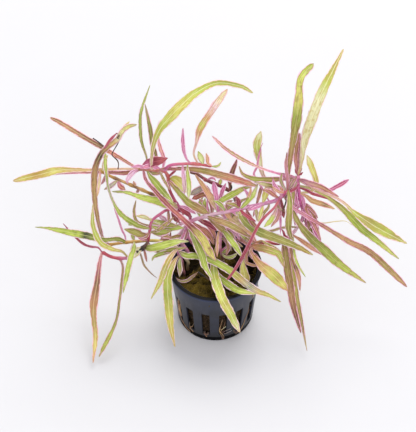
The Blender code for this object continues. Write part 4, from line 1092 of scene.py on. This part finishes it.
# Dead sticks: an old shoot that has died back, a dark dry stick caught behind the crossing stem, and the
# short black stubs and threads that are left of others. They are rotted dull and almost black.
RAGGED_LEAST = 0.8
RAGGED_SWELL = 0.6
DEAD_RAGGED = 0.3
DEAD_RIDGE = 0.12
# A row gives a stick's name, its radius, its tints and its points.
DEAD_STICKS = """
dead_stem 0.9 | umber, maroon 0.4, umber
    | 187 170.5 84, 197 174 82, 207 180.5 80, 217 184.5 78, 231 192 74, 235 199 73.5, 238 208.5 73.8
dead_stub 0.3 | rot, rot 0.5, umber | 252.5 246 50.2, 257 244.5 51, 262 241.5 52.6
dead_fork 0.45 | rot, rot 0.5, umber | 229 192 74, 231.5 188 76, 230 183 78
dead_hub 0.4 | rot, rot 0.5, umber | 286 193.5 85, 286.5 199 84, 285 205 82, 282.5 211 80
dead_knot 0.7 | rot, rot 0.5, umber | 290 186 87, 290.5 189.5 86, 289 192 85
dead_joint 1.25 | rot, rot 0.5, umber | 136.5 252.5 46.8, 140 250 47.6, 144 247.3 49.6, 149 243.5 51.5
dead_edge 0.33 | rot, rot 0.5, umber | 93 138.3 99.2, 99 142.3 98.6, 105 147.4 97.6
dead_hook 0.3 | rot, rot 0.5, umber | 116 133.5 111, 118.5 134 111.5, 119 136.3 111, 117.3 137.5 110.6
dead_thread 0.25 | rot, rot 0.5, umber
    | 117.3 137.5 110.6, 119 141 109, 114 150 106, 112 155 103.5, 117 160 100, 118.5 164 97, 118 169 92.6
dead_fallen 0.45 | rot, rot 0.5, umber | 198 272 38.4, 204 276 38.3, 211 281 38.1
"""


def ragged(radius, path, grain):
    """The radii of an uneven stick or thread of this mean radius."""
    return [radius * (RAGGED_LEAST + RAGGED_SWELL * abs(noise.noise(grain * point))) for point in path]


# Rotted stem skin: soft and almost black, with the sheen of something wet.
dead_skin = stem_skin("wet rotted stem skin", "#2A1C18", "#7C5A50")
dead_lines = []
for start, tints, places in rows_of(DEAD_STICKS):
    name, radius = start.split()
    stem_paths[name] = smooth_path(sight_points(places), STEM_STEP)
    radii = ragged(float(radius), stem_paths[name], DEAD_RAGGED)
    dead_lines.append(rail(stem_paths[name], radii, radii, tints))
dead_sticks = shaped("dead_sticks", rail_mesh("dead_sticks", dead_lines), stem_tree, {
    "Ridge": DEAD_RIDGE, "Skin": dead_skin})
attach(dead_sticks, "root")


# Small leaves: the young and broken leaves of the crown, soft and too short and thin to stand as solids,
# each growing from a joint of its stem like the long ones.
# A small leaf rises this much for each row that it goes up the photograph, about half way between one
# that lies level and one that stands upright.
ROW_RISE = 0.38
USUAL_PEAK = 0.5
# A row gives the stem, the joint's column and row, how far the tip lifts above that slope, the widest
# and where that comes if not half way, the tints, and where the leaf shows in the photograph, with a
# height where it has to pass behind another.
SMALL_LEAVES = {
    "leaf_green": """
stem_top_branch 203 165 0 3 | pale, leaf | 201 158, 198 151
stem_top_branch 212 166.5 0 1.5 | green, leaf | 218 166, 221 162
stem_crossing 217 214 6 3.2 | green, leaf 0.6, olive 0.9, maroon
    | 219 206, 221 201, 232 194.5, 245 188, 252 187
stem_crossing 236 210.5 3 2.5 | green, lime 0.6, pale | 241 208, 246 203, 253 195, 258 183
dead_stem 219 185 1 2.2 | lime | 220.5 181, 222 178
stem_right 293 233 5 1.6 | lime | 294 250, 297 263, 305.5 277
stem_crossing 277 200.5 3 2.6 0.75 | pink, pink 0.45, lime 0.6, lime | 276 210, 271 220, 264 227
stem_middle 221 253 3 2.3 | magenta, green 0.3, leaf | 224 252, 228 249, 231.5 245
stem_middle 221 254 3 1.8 0.6 | pale, leaf 0.6, pale | 226 257, 232 257, 238 252.5
stem_front_left 179 250 2 2.4 | green | 172 251, 163 253, 154 257, 152 261
stem_front_left 180 256 2 2.4 | pale, green 0.5, pink | 179.5 264, 180 270, 179.5 277
stem_left_branch 150 228 3 4 | green, leaf | 160 227, 172 227, 184 228
stem_left_back 146 170 3 3.4 0.4 | moss, green 0.4, moss 0.7, lime
    | 150 176, 155 182, 160 188, 165 194, 170 199, 173 204
stem_top_branch 187 164 2 2.6 0.6 | olive, leaf 0.5, pale | 187.5 171, 189 186, 188.5 199
stem_crossing 205 216.8 3 2.4 | leaf | 204 208, 205 198
stem_left_branch 149 228 3 3 | green, leaf | 143 226, 136 224, 128 225
stem_crossing 213 214.5 -1 2 | green, moss | 219 218, 224 220, 229 219
stem_crossing 205 216.8 2 2.2 | green, leaf | 202 209, 200 203, 203 197
stem_front_right 254 244 3 2 | moss, leaf | 248 240, 243 236, 239 233
stem_left_branch 150 226 1 2.6 | olive, green | 156 228, 162 230, 168 232
stem_left_branch 153 219 1 1.8 | pale, green | 147 218, 142 216.5, 137 216
stem_crossing 200 218.5 1 2.2 | green, leaf | 198 211, 196 206, 192 202
stem_crossing 226 211.8 2 2.2 | moss, leaf | 222 206, 217 202, 213 201
stem_left_gold 134 241.5 0 2.4 | moss, green | 133 236, 134 231, 134.5 228
stem_left_gold 134 241.5 0 2.6 | green, moss | 133.5 247, 132 253, 131 257
stem_left_branch 152 221 1 2.2 | leaf, pale | 156 221, 161 223, 166 226
stem_crossing 235 210.5 0 3 | green, leaf 0.6, olive | 240 217, 247 224, 254 229
""",
    "leaf_yellow": """
stem_gold_branch 103 172 2 1.5 | pale, yellow | 104 163, 108 155
stem_crossing 263 204 2 3.2 | green, yellow 0.5, yellow | 264.5 197, 266.5 191, 268.5 183
stem_crossing 263 204 2 2.2 | yellow, leaf | 262 209, 260 216, 258 222
stem_right 298 176 4 2.2 | pale, pale 0.6, yellow | 301 160, 303 140, 306 125, 310 112
stem_right 299 192 5 3 0.8 | pale, yellow 0.5, yellow 0.8, pale
    | 309 192, 316 186, 315.5 178, 311 166, 307 155
stem_front_right 246 257 3 4.6 0.85 | yellow, yellow 0.6, tan | 243 265, 244.5 275, 247 285
stem_front_right 262 240.5 3 2.4 | olive, leaf 0.5, yellow | 268 245, 273 248, 282 253
stem_left_branch 152 221 4 2.2 | green, pale 0.6, leaf | 147 218, 142 216.5, 136 216
stem_left_back 169 181 5 5.2 | leaf, yellow 0.5, pale | 174 179, 181 185, 189 193
stem_crossing 243 208.3 -0.5 2 | leaf, yellow | 241 212, 239 215, 237 217
stem_left_branch 127 258 1 4.2 0.45 | lilac, pale 0.3, pale | 132 255, 137 251, 143 247
stem_right 302 213 3 0.5 | pale | 320 222.5, 335 221.5, 345 221, 352 225
""",
    "leaf_olive": """
stem_gold_branch 118 180 1.5 2.4 | olive, stone 0.5, olive | 115 182.5, 110 186.5, 104 189.5
stem_left_branch 150 226 3 1.6 | brown, olive 0.5, olive | 142 224, 136 220, 134 211, 136 200
stem_crossing 240 208.5 3 2 | olive | 235 205, 225 203
stem_right 298 178 4 2.7 | rose, olive 0.4, green 0.7, tan | 287 178.5, 270 179.5, 255 179, 243 174, 239 166
stem_crossing 288 190 0 2.4 | pale, olive 0.5, pale | 281 188, 268 185, 254 182
stem_right 298 227 3 1.4 | olive | 290 227, 281 228, 270 231, 262 229
stem_left_branch 140 250 3 1 0.3 | moss, moss 0.5, stone | 142 259, 144 265, 148 270, 153 275, 157 278
stem_left_branch 146 245 3 2.6 | olive, green | 153 249.5, 160 251, 170 250, 187 247.5
stem_left_branch 149 233 4 3.6 | brown, olive 0.4, green | 142 235, 136 232.5, 124 229
stem_left_branch 149 232 3 3.4 | moss, green | 158 232.5, 172 231
stem_left_branch 149 234 5 2 | olive, tan | 158 230, 168 222.5, 174 217
stem_left_back 159 170.5 5 1.6 | moss, umber | 164 180, 167 185, 170 190
stem_crossing 213 214.5 4 3.1 0.85 | olive, stone 0.5, stone
    | 213 204 70, 206 188 75, 198 190.5 74, 190 195 71
stem_crossing 206 217 1 3.2 0.6 | umber, brown 0.4, olive 0.8, moss | 214 222.5, 222 229, 229 237
stem_crossing 231 211 0 2.6 | moss, umber 0.6, moss | 236 222 58, 241 233 54, 244 244 51
stem_right 297 176 1 2.6 | stone, olive 0.6, umber | 293.5 178, 291 185, 289.5 193
stem_right 298 181 1 2 0.6 | stone, olive 0.5, olive | 295 186, 293 196, 293.5 206
stem_middle 222 238 2 2 | moss, olive | 229 241, 236 243, 243 247
stem_left_back 187 226 1 2.2 | olive, brown 0.6, umber | 192 229, 198 233, 203 240
stem_left_back 145 170 -1 1.9 | stone, olive 0.5, coral | 150 172.5, 156 173.5, 163 173
stem_crossing 256 205.5 1 2 | olive, pale | 256 211, 257 216, 257 221
stem_crossing 277 200.5 2.5 1.1 | olive | 278 206, 281 209.5, 285 211.5
stem_middle 222 229 2 2.4 | umber, olive 0.5, moss | 227 231, 231 235, 235 240
stem_middle 221 238 0 1.8 | umber, moss | 226 241, 229 246, 232 251
stem_crossing 210 215.3 1 2 | olive, coral | 207 208, 203 202, 199 199
stem_crossing 270 202 1 1.6 | olive, moss | 268 208, 264 213, 262 219
stem_left_branch 151 224 3 3.2 | green, moss 0.5, olive | 160 223, 170 225, 178 226
stem_left_gold 165 241.5 1 2 | olive, tan | 172 238, 178 236, 184 236
stem_crossing 226 212 5 2.2 | olive, moss | 231 206, 238 203, 246 198
stem_crossing 287 191 3 2 | stone, olive | 283 186, 281 180, 282 173
stem_right 302 218 1 2 | olive, moss | 308 226, 313 236, 315 246
""",
    "leaf_tan": """
stem_gold_branch 100 171 0 1.6 0.4 | pink, pale 0.4, yellow | 99.5 180, 98.5 188, 97 197
stem_top_branch 212 166.5 0 1.9 | coral, tan | 208 163, 207.5 158, 206 153
stem_right 292 234 3 2.3 | coral, salmon 0.5, pink | 300 239.5, 310 246.5, 324 255.5
stem_right 299 192 3 2.7 | tan, tan 0.6, umber 0.75, yellow | 306 196, 311 200, 317 202.5, 323 204, 335 209
stem_middle 222 229 4 1.6 | tan | 218.5 233, 217.5 243, 217 257
stem_front_right 246 256 2 1.5 | ochre | 246 262, 252 265, 259 266
stem_crossing 281 196 1 2.8 | pink, salmon 0.5, pink | 281 191, 282.5 185
stem_crossing 285 193 2 1.8 | coral, tan | 280 192, 276 190, 272 186
stem_left_branch 149.5 232 1 2 | olive, tan | 158 234, 166 236, 172 238
stem_gold_branch 136 187 1 1.5 | ochre, umber | 135 185, 134 183, 133.5 181
stem_crossing 240 208.5 4 1.6 | tan, salmon | 246 201, 250 193, 251 186
stem_front_right 253 246 1 1.8 | umber, pale | 251 252, 252 257, 256 260
""",
    "leaf_brown": """
stem_gold_branch 106 174 0 1.5 | brown, mauve | 104 180, 101 184.5
stem_gold_branch 118 180 -1 2.6 0.7 | pink, coral 0.5, brown | 119 184, 121 187, 125.5 190
stem_crossing 256 205.5 0 1.8 | maroon, brown 0.5, maroon | 258.5 198, 260 192, 262 184
stem_crossing 256 205.5 0 1.1 | brown, coral | 255 210, 253 217
dead_stem 229 191 3 2.6 | maroon, umber 0.5, maroon | 230 181, 232 173, 235 165, 237 159
stem_crossing 288 190 5 1.6 | coral, pink 0.5, brown | 287.5 180, 286 165, 287 152
stem_right 298 175 1 1 | brown, coral | 300 171.5, 302 168
stem_right 290 237 2 2.4 | brown, brown 0.5, rot 0.55, tan 0.65, tan | 291 250, 295 265, 299 278, 300 291
stem_right 300 200 3 1.6 | coral, brown | 305 206, 307 212, 311 217
stem_crossing 278 200 2 2.1 | pink, brown | 279.5 209, 278 217, 271 227
stem_crossing 192 221 2 3 | coral, brown | 200 228, 206 232, 211 238, 214 245
stem_left_branch 143 248 2 1.3 | coral, brown | 146 258, 147 262
stem_left_branch 148 240 3 1.6 | coral | 142 239, 136 235
stem_left_branch 168 210 1 1.6 | umber, olive | 168.5 216, 168.5 224
stem_left_back 184 213 2 1.6 | brown | 180 218, 176 224
stem_crossing 211 215 3 2.7 0.85 | coral, brown 0.6, coral
    | 211 206 68, 207 195 71, 200 195.5 70, 192 199 67
stem_left_gold 171 243.5 1 1.4 | brown, umber | 170 237, 171 232
stem_front_right 256 243 2 2 | brown, umber | 250 240, 245 236, 240 233
stem_middle 222 232 0 2 | umber, brown | 227 240, 228 248, 226 256
stem_front_right 250 249 1 1.6 | brown, umber | 245 243, 240 240, 233 239
stem_crossing 198 219 0 2.4 | maroon, coral 0.5, brown | 205 222, 212 230, 216 240
stem_left_back 157 170 1.5 1.8 | brown, maroon 0.5, brown | 165 168.5, 173 169, 182 169.5
stem_crossing 228 211.3 1 2 | umber, brown | 227 206, 229 202, 233 200.5
stem_crossing 288 190 4 2 | stone, brown | 291 186, 294 181, 297 176.5
stem_right 302 207 4 2 | rose, brown | 309 215, 315 226, 321 240
stem_front_right 252 246 2 1.6 | brown, maroon | 247 244, 243 241, 240 238
stem_left_branch 150 232 1 2.8 | brown, olive | 146 236, 141 236, 136 233
stem_left_gold 158 241 1 1.8 | brown, umber | 163 240, 168 240, 174 240
stem_crossing 189 223 1 1.3 0.3 | maroon, brown | 188 231, 185.5 238, 183 245
stem_left_gold 160 241 0 1.6 | brown, pink | 163 236, 166 231, 170 228
stem_gold_branch 139 188.5 1 1.6 | umber | 138 191, 136 192.5
stem_crossing 246 207.5 1 2.6 | maroon, brown | 248 214, 252 222, 258 229
stem_crossing 280 199 3 2.2 | coral, brown | 274 195, 268 191, 262 190
stem_right 302 208 1 2.2 | pink, brown 0.6, olive | 307 214, 309 222, 308 231
stem_right 301 203 3 1.5 | maroon, brown | 307 206, 313 211, 318 218
stem_front_right 250 249 1 2 | umber, tan | 247 254, 246 258, 248 262
stem_front_right 250 250 1 1.8 | rot, brown | 253 254, 257 257, 259 262
""",
    "leaf_rose": """
stem_left_gold 126 242.5 0 1.1 | mauve, pink | 125 236, 122 230, 118 218, 114 208
stem_left_back 138 169 0 2.3 0.4 | rose, lilac 0.3, lilac | 135 171, 131 174, 128.5 178, 127 181, 128 184
stem_left_back 163 170.5 0 2 | pink, salmon 0.6, salmon | 164 160, 161 150, 159 143, 158 135
stem_crossing 218 214 3 2.6 0.7 | magenta, pink 0.6, magenta | 217.5 206, 216.5 197, 214.5 188, 213.5 181
stem_crossing 219 213 0 2 0.7 | rose, magenta | 219 204, 222 192, 226 183
stem_crossing 265 203.5 3 1.4 | magenta | 260 206, 254 208.5, 249 210.5
stem_crossing 270 201.5 0 1.1 | pink, crimson | 262 188, 254 175, 257 167, 258.5 158, 261 147, 263 143
stem_right 298 180 4 2.2 0.9 | maroon, rose 0.6, crimson | 310 186, 325 191, 338 186, 349 179.5
stem_right 302 205 2 2.6 0.6 | magenta, pink 0.5, magenta 0.75, brown | 308 212, 313 224, 318 236, 321 242
stem_crossing 280 198.5 2 1.1 | magenta | 280 210, 280.5 222, 280.5 234
stem_crossing 208 216 2 0.9 | pink | 207.5 208, 207 199
stem_left_back 179 206 1 2 | mauve, pink 0.5, rose | 184 207, 190 210, 196 214
stem_crossing 190 220 1 2.2 0.3 | lilac | 184 222, 179 225, 175 226.5
stem_left_gold 170 243 0 0.8 0.4 | pink | 168 236, 169 230, 174 227.5, 181 229
stem_crossing 222 212.5 0 1.8 | mauve, lilac | 228 224 60, 233 233 56, 236 242 53
stem_right 298 185 1 1.7 | magenta | 295.5 193, 296.5 201, 300 208
stem_right 299 192 1 1.5 | magenta, mauve | 303 199, 304 205, 303.5 210
stem_left_back 163 170.5 3 2.2 | rose, pink 0.5, coral | 155 167, 148 166, 140 169
stem_left_back 150 170 2 1.6 | mauve, pink | 144 167, 138 166, 131 167
stem_top_branch 183 164 1 1.8 | pink, lilac 0.5, pale | 183 172, 184 182, 184.5 194
dead_stem 207 180 3 1.2 | rose, magenta | 211 178, 214 178.5, 216 181
stem_crossing 254 206 2 1.5 | magenta | 251 208.5, 248 210.5
stem_crossing 288 190 2 1.2 | lilac, stone | 288.5 196, 288.5 202, 288 208
stem_right 298 178 3 1.5 | rose, brown 0.5, rose | 291 176, 284 174.5, 275 172.5
stem_right 302 205 4 1.8 | magenta, rose | 304 210, 307 216, 311 223
stem_right 299 196 2 1.2 | magenta, pink 0.6, lilac | 294 205, 291.5 217, 290.5 230
stem_middle 222 229 1 1.8 | lilac, mauve | 229 229, 236 233, 240 241
stem_middle 221 251 3 0.9 | pink | 225 248, 229 245.5, 233 243
stem_left_branch 158 214 0 2.4 | lilac, stone | 161 217, 165 219.5, 167 222
stem_crossing 188 224 1 1.5 0.3 | magenta, pink | 185 231, 182 238, 178 246
stem_crossing 190 222 1 1 0.3 | pink | 190 229, 187.5 236, 185 241
stem_right 298 176 2 2.6 0.3 | magenta, brown 0.35, rose 0.8, pink | 298 162, 299 148, 300 132.5
stem_crossing 247 207.5 1 1.6 | pink | 249 200, 247 193, 243 188
stem_right 301 203 1 1.6 | magenta, pink | 297 209, 295 217, 295 226
stem_right 300 199 1 1.8 | pink, brown | 297 204, 293 208, 290 214
stem_right 303 211 0 1.6 | magenta, pink | 306 218, 306 226, 303 232
stem_crossing 230 211.5 1 2.2 | pink, mauve | 238 214, 246 217, 254 223
stem_crossing 283 196 3 1.8 | pink, rose | 278 190, 274 184, 273 178
stem_right 303 212 3 2 | rose, pink | 310 218, 316 227, 318 237
""",
    "leaf_red": """
stem_left_back 140 169 5 4.2 | coral, rose 0.3, maroon 0.55, coral | 147 164, 152 162, 160 160.5, 168 158
stem_crossing 238 209 4 2.2 | maroon | 239 203, 236 196
stem_crossing 240 208.5 4 1.9 | crimson | 243 213, 249 217.5, 256 221.5
stem_right 298 175 1 1 | crimson | 296 172, 295 168.5
stem_right 298 175 1 1 | crimson | 300.5 174.5, 303 172
stem_right 299 187 4 1.4 | crimson, maroon 0.35, crimson 0.5, crimson
    | 307 190.5, 312 193.5, 318 195.5, 328 199
stem_crossing 197 219.5 2 2.7 | maroon | 207 223.5, 212 226.5, 217 231
stem_left_branch 102 252 0 1.3 0.4 | mauve, maroon 0.4, maroon
    | 98 247.5, 90 246.5, 82 243, 75 236.5, 63 223.5
stem_left_back 168 177 1 1.3 0.4 | crimson | 172 173.5, 177 169.5
stem_left_branch 172 209.5 1 2.4 | maroon, umber 0.6, maroon | 173 214, 176 219, 180 223
stem_left_back 178 206 0 2.8 0.4 | maroon, crimson 0.5, maroon | 182 209, 187 213, 192 217
stem_crossing 284 193 1 1.5 0.4 | maroon, crimson 0.5, magenta | 290 191.5, 296 188, 299 184
stem_crossing 281 197 0 2.2 0.7 | maroon, umber 0.7, crimson | 282 206, 283 213, 284 218
dead_stem 209 181 1 1.6 | maroon | 205 180, 203 177
stem_right 286 240 1 1.3 | crimson, rose | 284.5 235, 283 231, 281 229
stem_right 284 242 3 1.8 | coral | 285.5 239, 286 235
"""}
# Fallen leaves lie on the wool or hang in a fork: a slot, the widest, tints and points.
# The first leaf lies on the wool and is tinted dark umber, painted shade for the shadow it lies in.
FALLEN_LEAVES = """
leaf_olive 1.5 | umber, moss 0.35, umber 0.8, maroon
    | 174 277 38.2, 180 281 38.4, 186 281 38.4, 191 278 38.6, 198 272 38.6
leaf_red 1.3 | crimson | 104.5 148.5 106.5, 108 143 108.5, 112 138 110.5, 117 133 112.5
leaf_yellow 1.7 | pale, yellow | 120 134 111.5, 122.5 130 112.8, 125.5 126 114, 129.5 121.5 115
"""

for seed, (slot, table) in enumerate(SMALL_LEAVES.items()):
    lines = []
    for start, tints, places in rows_of(table):
        stem, *sizes = start.split()
        column, row, lift, widest, *peak = map(float, sizes)
        foot = nearest_joint(stem, column, row)
        spots = [numbers(place) for place in places.split(", ")]
        marks = []
        for i, (across, down, *held) in enumerate(spots):
            height = foot.z + ROW_RISE * (row - down) + lift * (i + 1) / len(spots)
            marks.append(sight_point(across, down, *(held or [height])))
        lines.append(blade_rail(foot, 0, (widest, *(peak or [USUAL_PEAK])), tints, marks))
    for start, tints, places in rows_of(FALLEN_LEAVES):
        if start.split()[0] == slot:
            path = smooth_path(sight_points(places), LEAF_STEP)
            halves = half_widths(len(path), (float(start.split()[1]), USUAL_PEAK), 0)
            lines.append(rail(path, halves, [LEAF_THICKNESS] * len(path), tints))
    leaves = shaped("small_" + slot, rail_mesh("small_" + slot, lines), blade_tree, {
        **blade_form, "Seed": 50.0 + seed, "Skin": leaf_skins[slot]})
    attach(leaves, "root")


# Roots: tough tan threads, a third of a millimetre thick, that have grown out of the slots and lie along
# the pot's wall, and tufts of root and wool a millimetre thick that push out of the slots beside them.
ROOT_RAGGED = 0.4
# A row gives a radius, tints and points: an angle in degrees, a height and how far off the wall it is.
ROOTS = """
0.18 | umber, tan 0.5, umber
    | -80 19 -1.5, -82.8 15.5 -0.1, -85 10.8 0.3, -81 7.4 0.3, -78 4 0.3, -78.6 2.2 0.2
0.15 | brown, pale | -84.3 11.8 -1.2, -83 11.2 0.1, -80 12.3 0.3, -75.8 13.8 0.1
0.13 | umber, stone | -83 9 -1, -80 8.8 0.2, -75.5 9.8 0.2, -68.2 10.4 0.1
0.13 | umber, stone | -79 8 -1, -78.2 7.1 0.2, -72.3 7.3 0.2, -66.3 8 0.1
0.14 | umber, tan | -76 17 -1.2, -79 13 0.1, -84 9 0.2, -82 5.5 0.1
0.5 | rot, umber | -81 7.4 -0.8, -81 5.4 0.2, -80 3.4 0.3, -79.3 2 0.2
0.6 | rot, umber 0.5, rot | -107.5 7.6 -1, -106 6.2 -0.1, -103 5.8 0, -100.8 7.4 -1
0.17 | umber, brown | -106 7 -0.5, -105 5 0.2, -103.5 4 0.1
0.2 | rot, brown | -133 10 -1, -131 7.4 0, -128 5.6 0.2, -125.2 4 0.1
0.18 | rot, brown 0.5, umber | -124 12 -1, -126 9 0, -130 7 0.1, -131 5 0.1
0.17 | umber, brown
    | -152 24 -1.5, -151.5 17.3 0.1, -151.1 10.4 0.2, -147.6 6.3 0.2, -139 3.6 0.2, -131.3 2.2 0.1
0.5 | umber, tan 0.5, brown | -147.5 23 -1.2, -149 19 -0.1, -150 15 0.1, -151.9 9.1 -0.6
0.6 | umber, brown 0.5, umber | -155 24 -1.2, -153 20 -0.2, -154 12 -0.2, -155 8 -0.6
0.16 | umber, tan | -31 18 -1.5, -37 16.8 0.1, -42.8 13.1 0.2, -45.4 8.4 0.2, -50.1 4.2 0.1
0.45 | rot, umber | -60.5 9 -1, -63 7.2 0.2, -59 4.2 0.3, -53.7 4.8 0.2, -52.5 8 -0.8
0.17 | brown, tan | -31 24 -1.2, -31.2 27 0.1, -33.5 31 0.1, -36 35 0.1
"""

# Root skin: tan, wet and a little glossy, with pale strands along it.
root_skin = stem_skin("wet water-plant root", "#5A4226", "#D6C49C")
root_lines = []
for radius, tints, places in rows_of(ROOTS):
    marks = []
    for place in places.split(", "):
        angle, height, off = numbers(place)
        reach = WALL_FOOT_RADIUS + taper * height + off
        bearing = math.radians(angle)
        marks.append(Vector((reach * math.cos(bearing), reach * math.sin(bearing), height)))
    path = smooth_path(marks, STEM_STEP)
    radii = ragged(float(radius), path, ROOT_RAGGED)
    root_lines.append(rail(path, radii, radii, tints))
roots = shaped("roots", rail_mesh("roots", root_lines), stem_tree, {"Ridge": STEM_RIDGE, "Skin": root_skin})
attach(roots, "root")
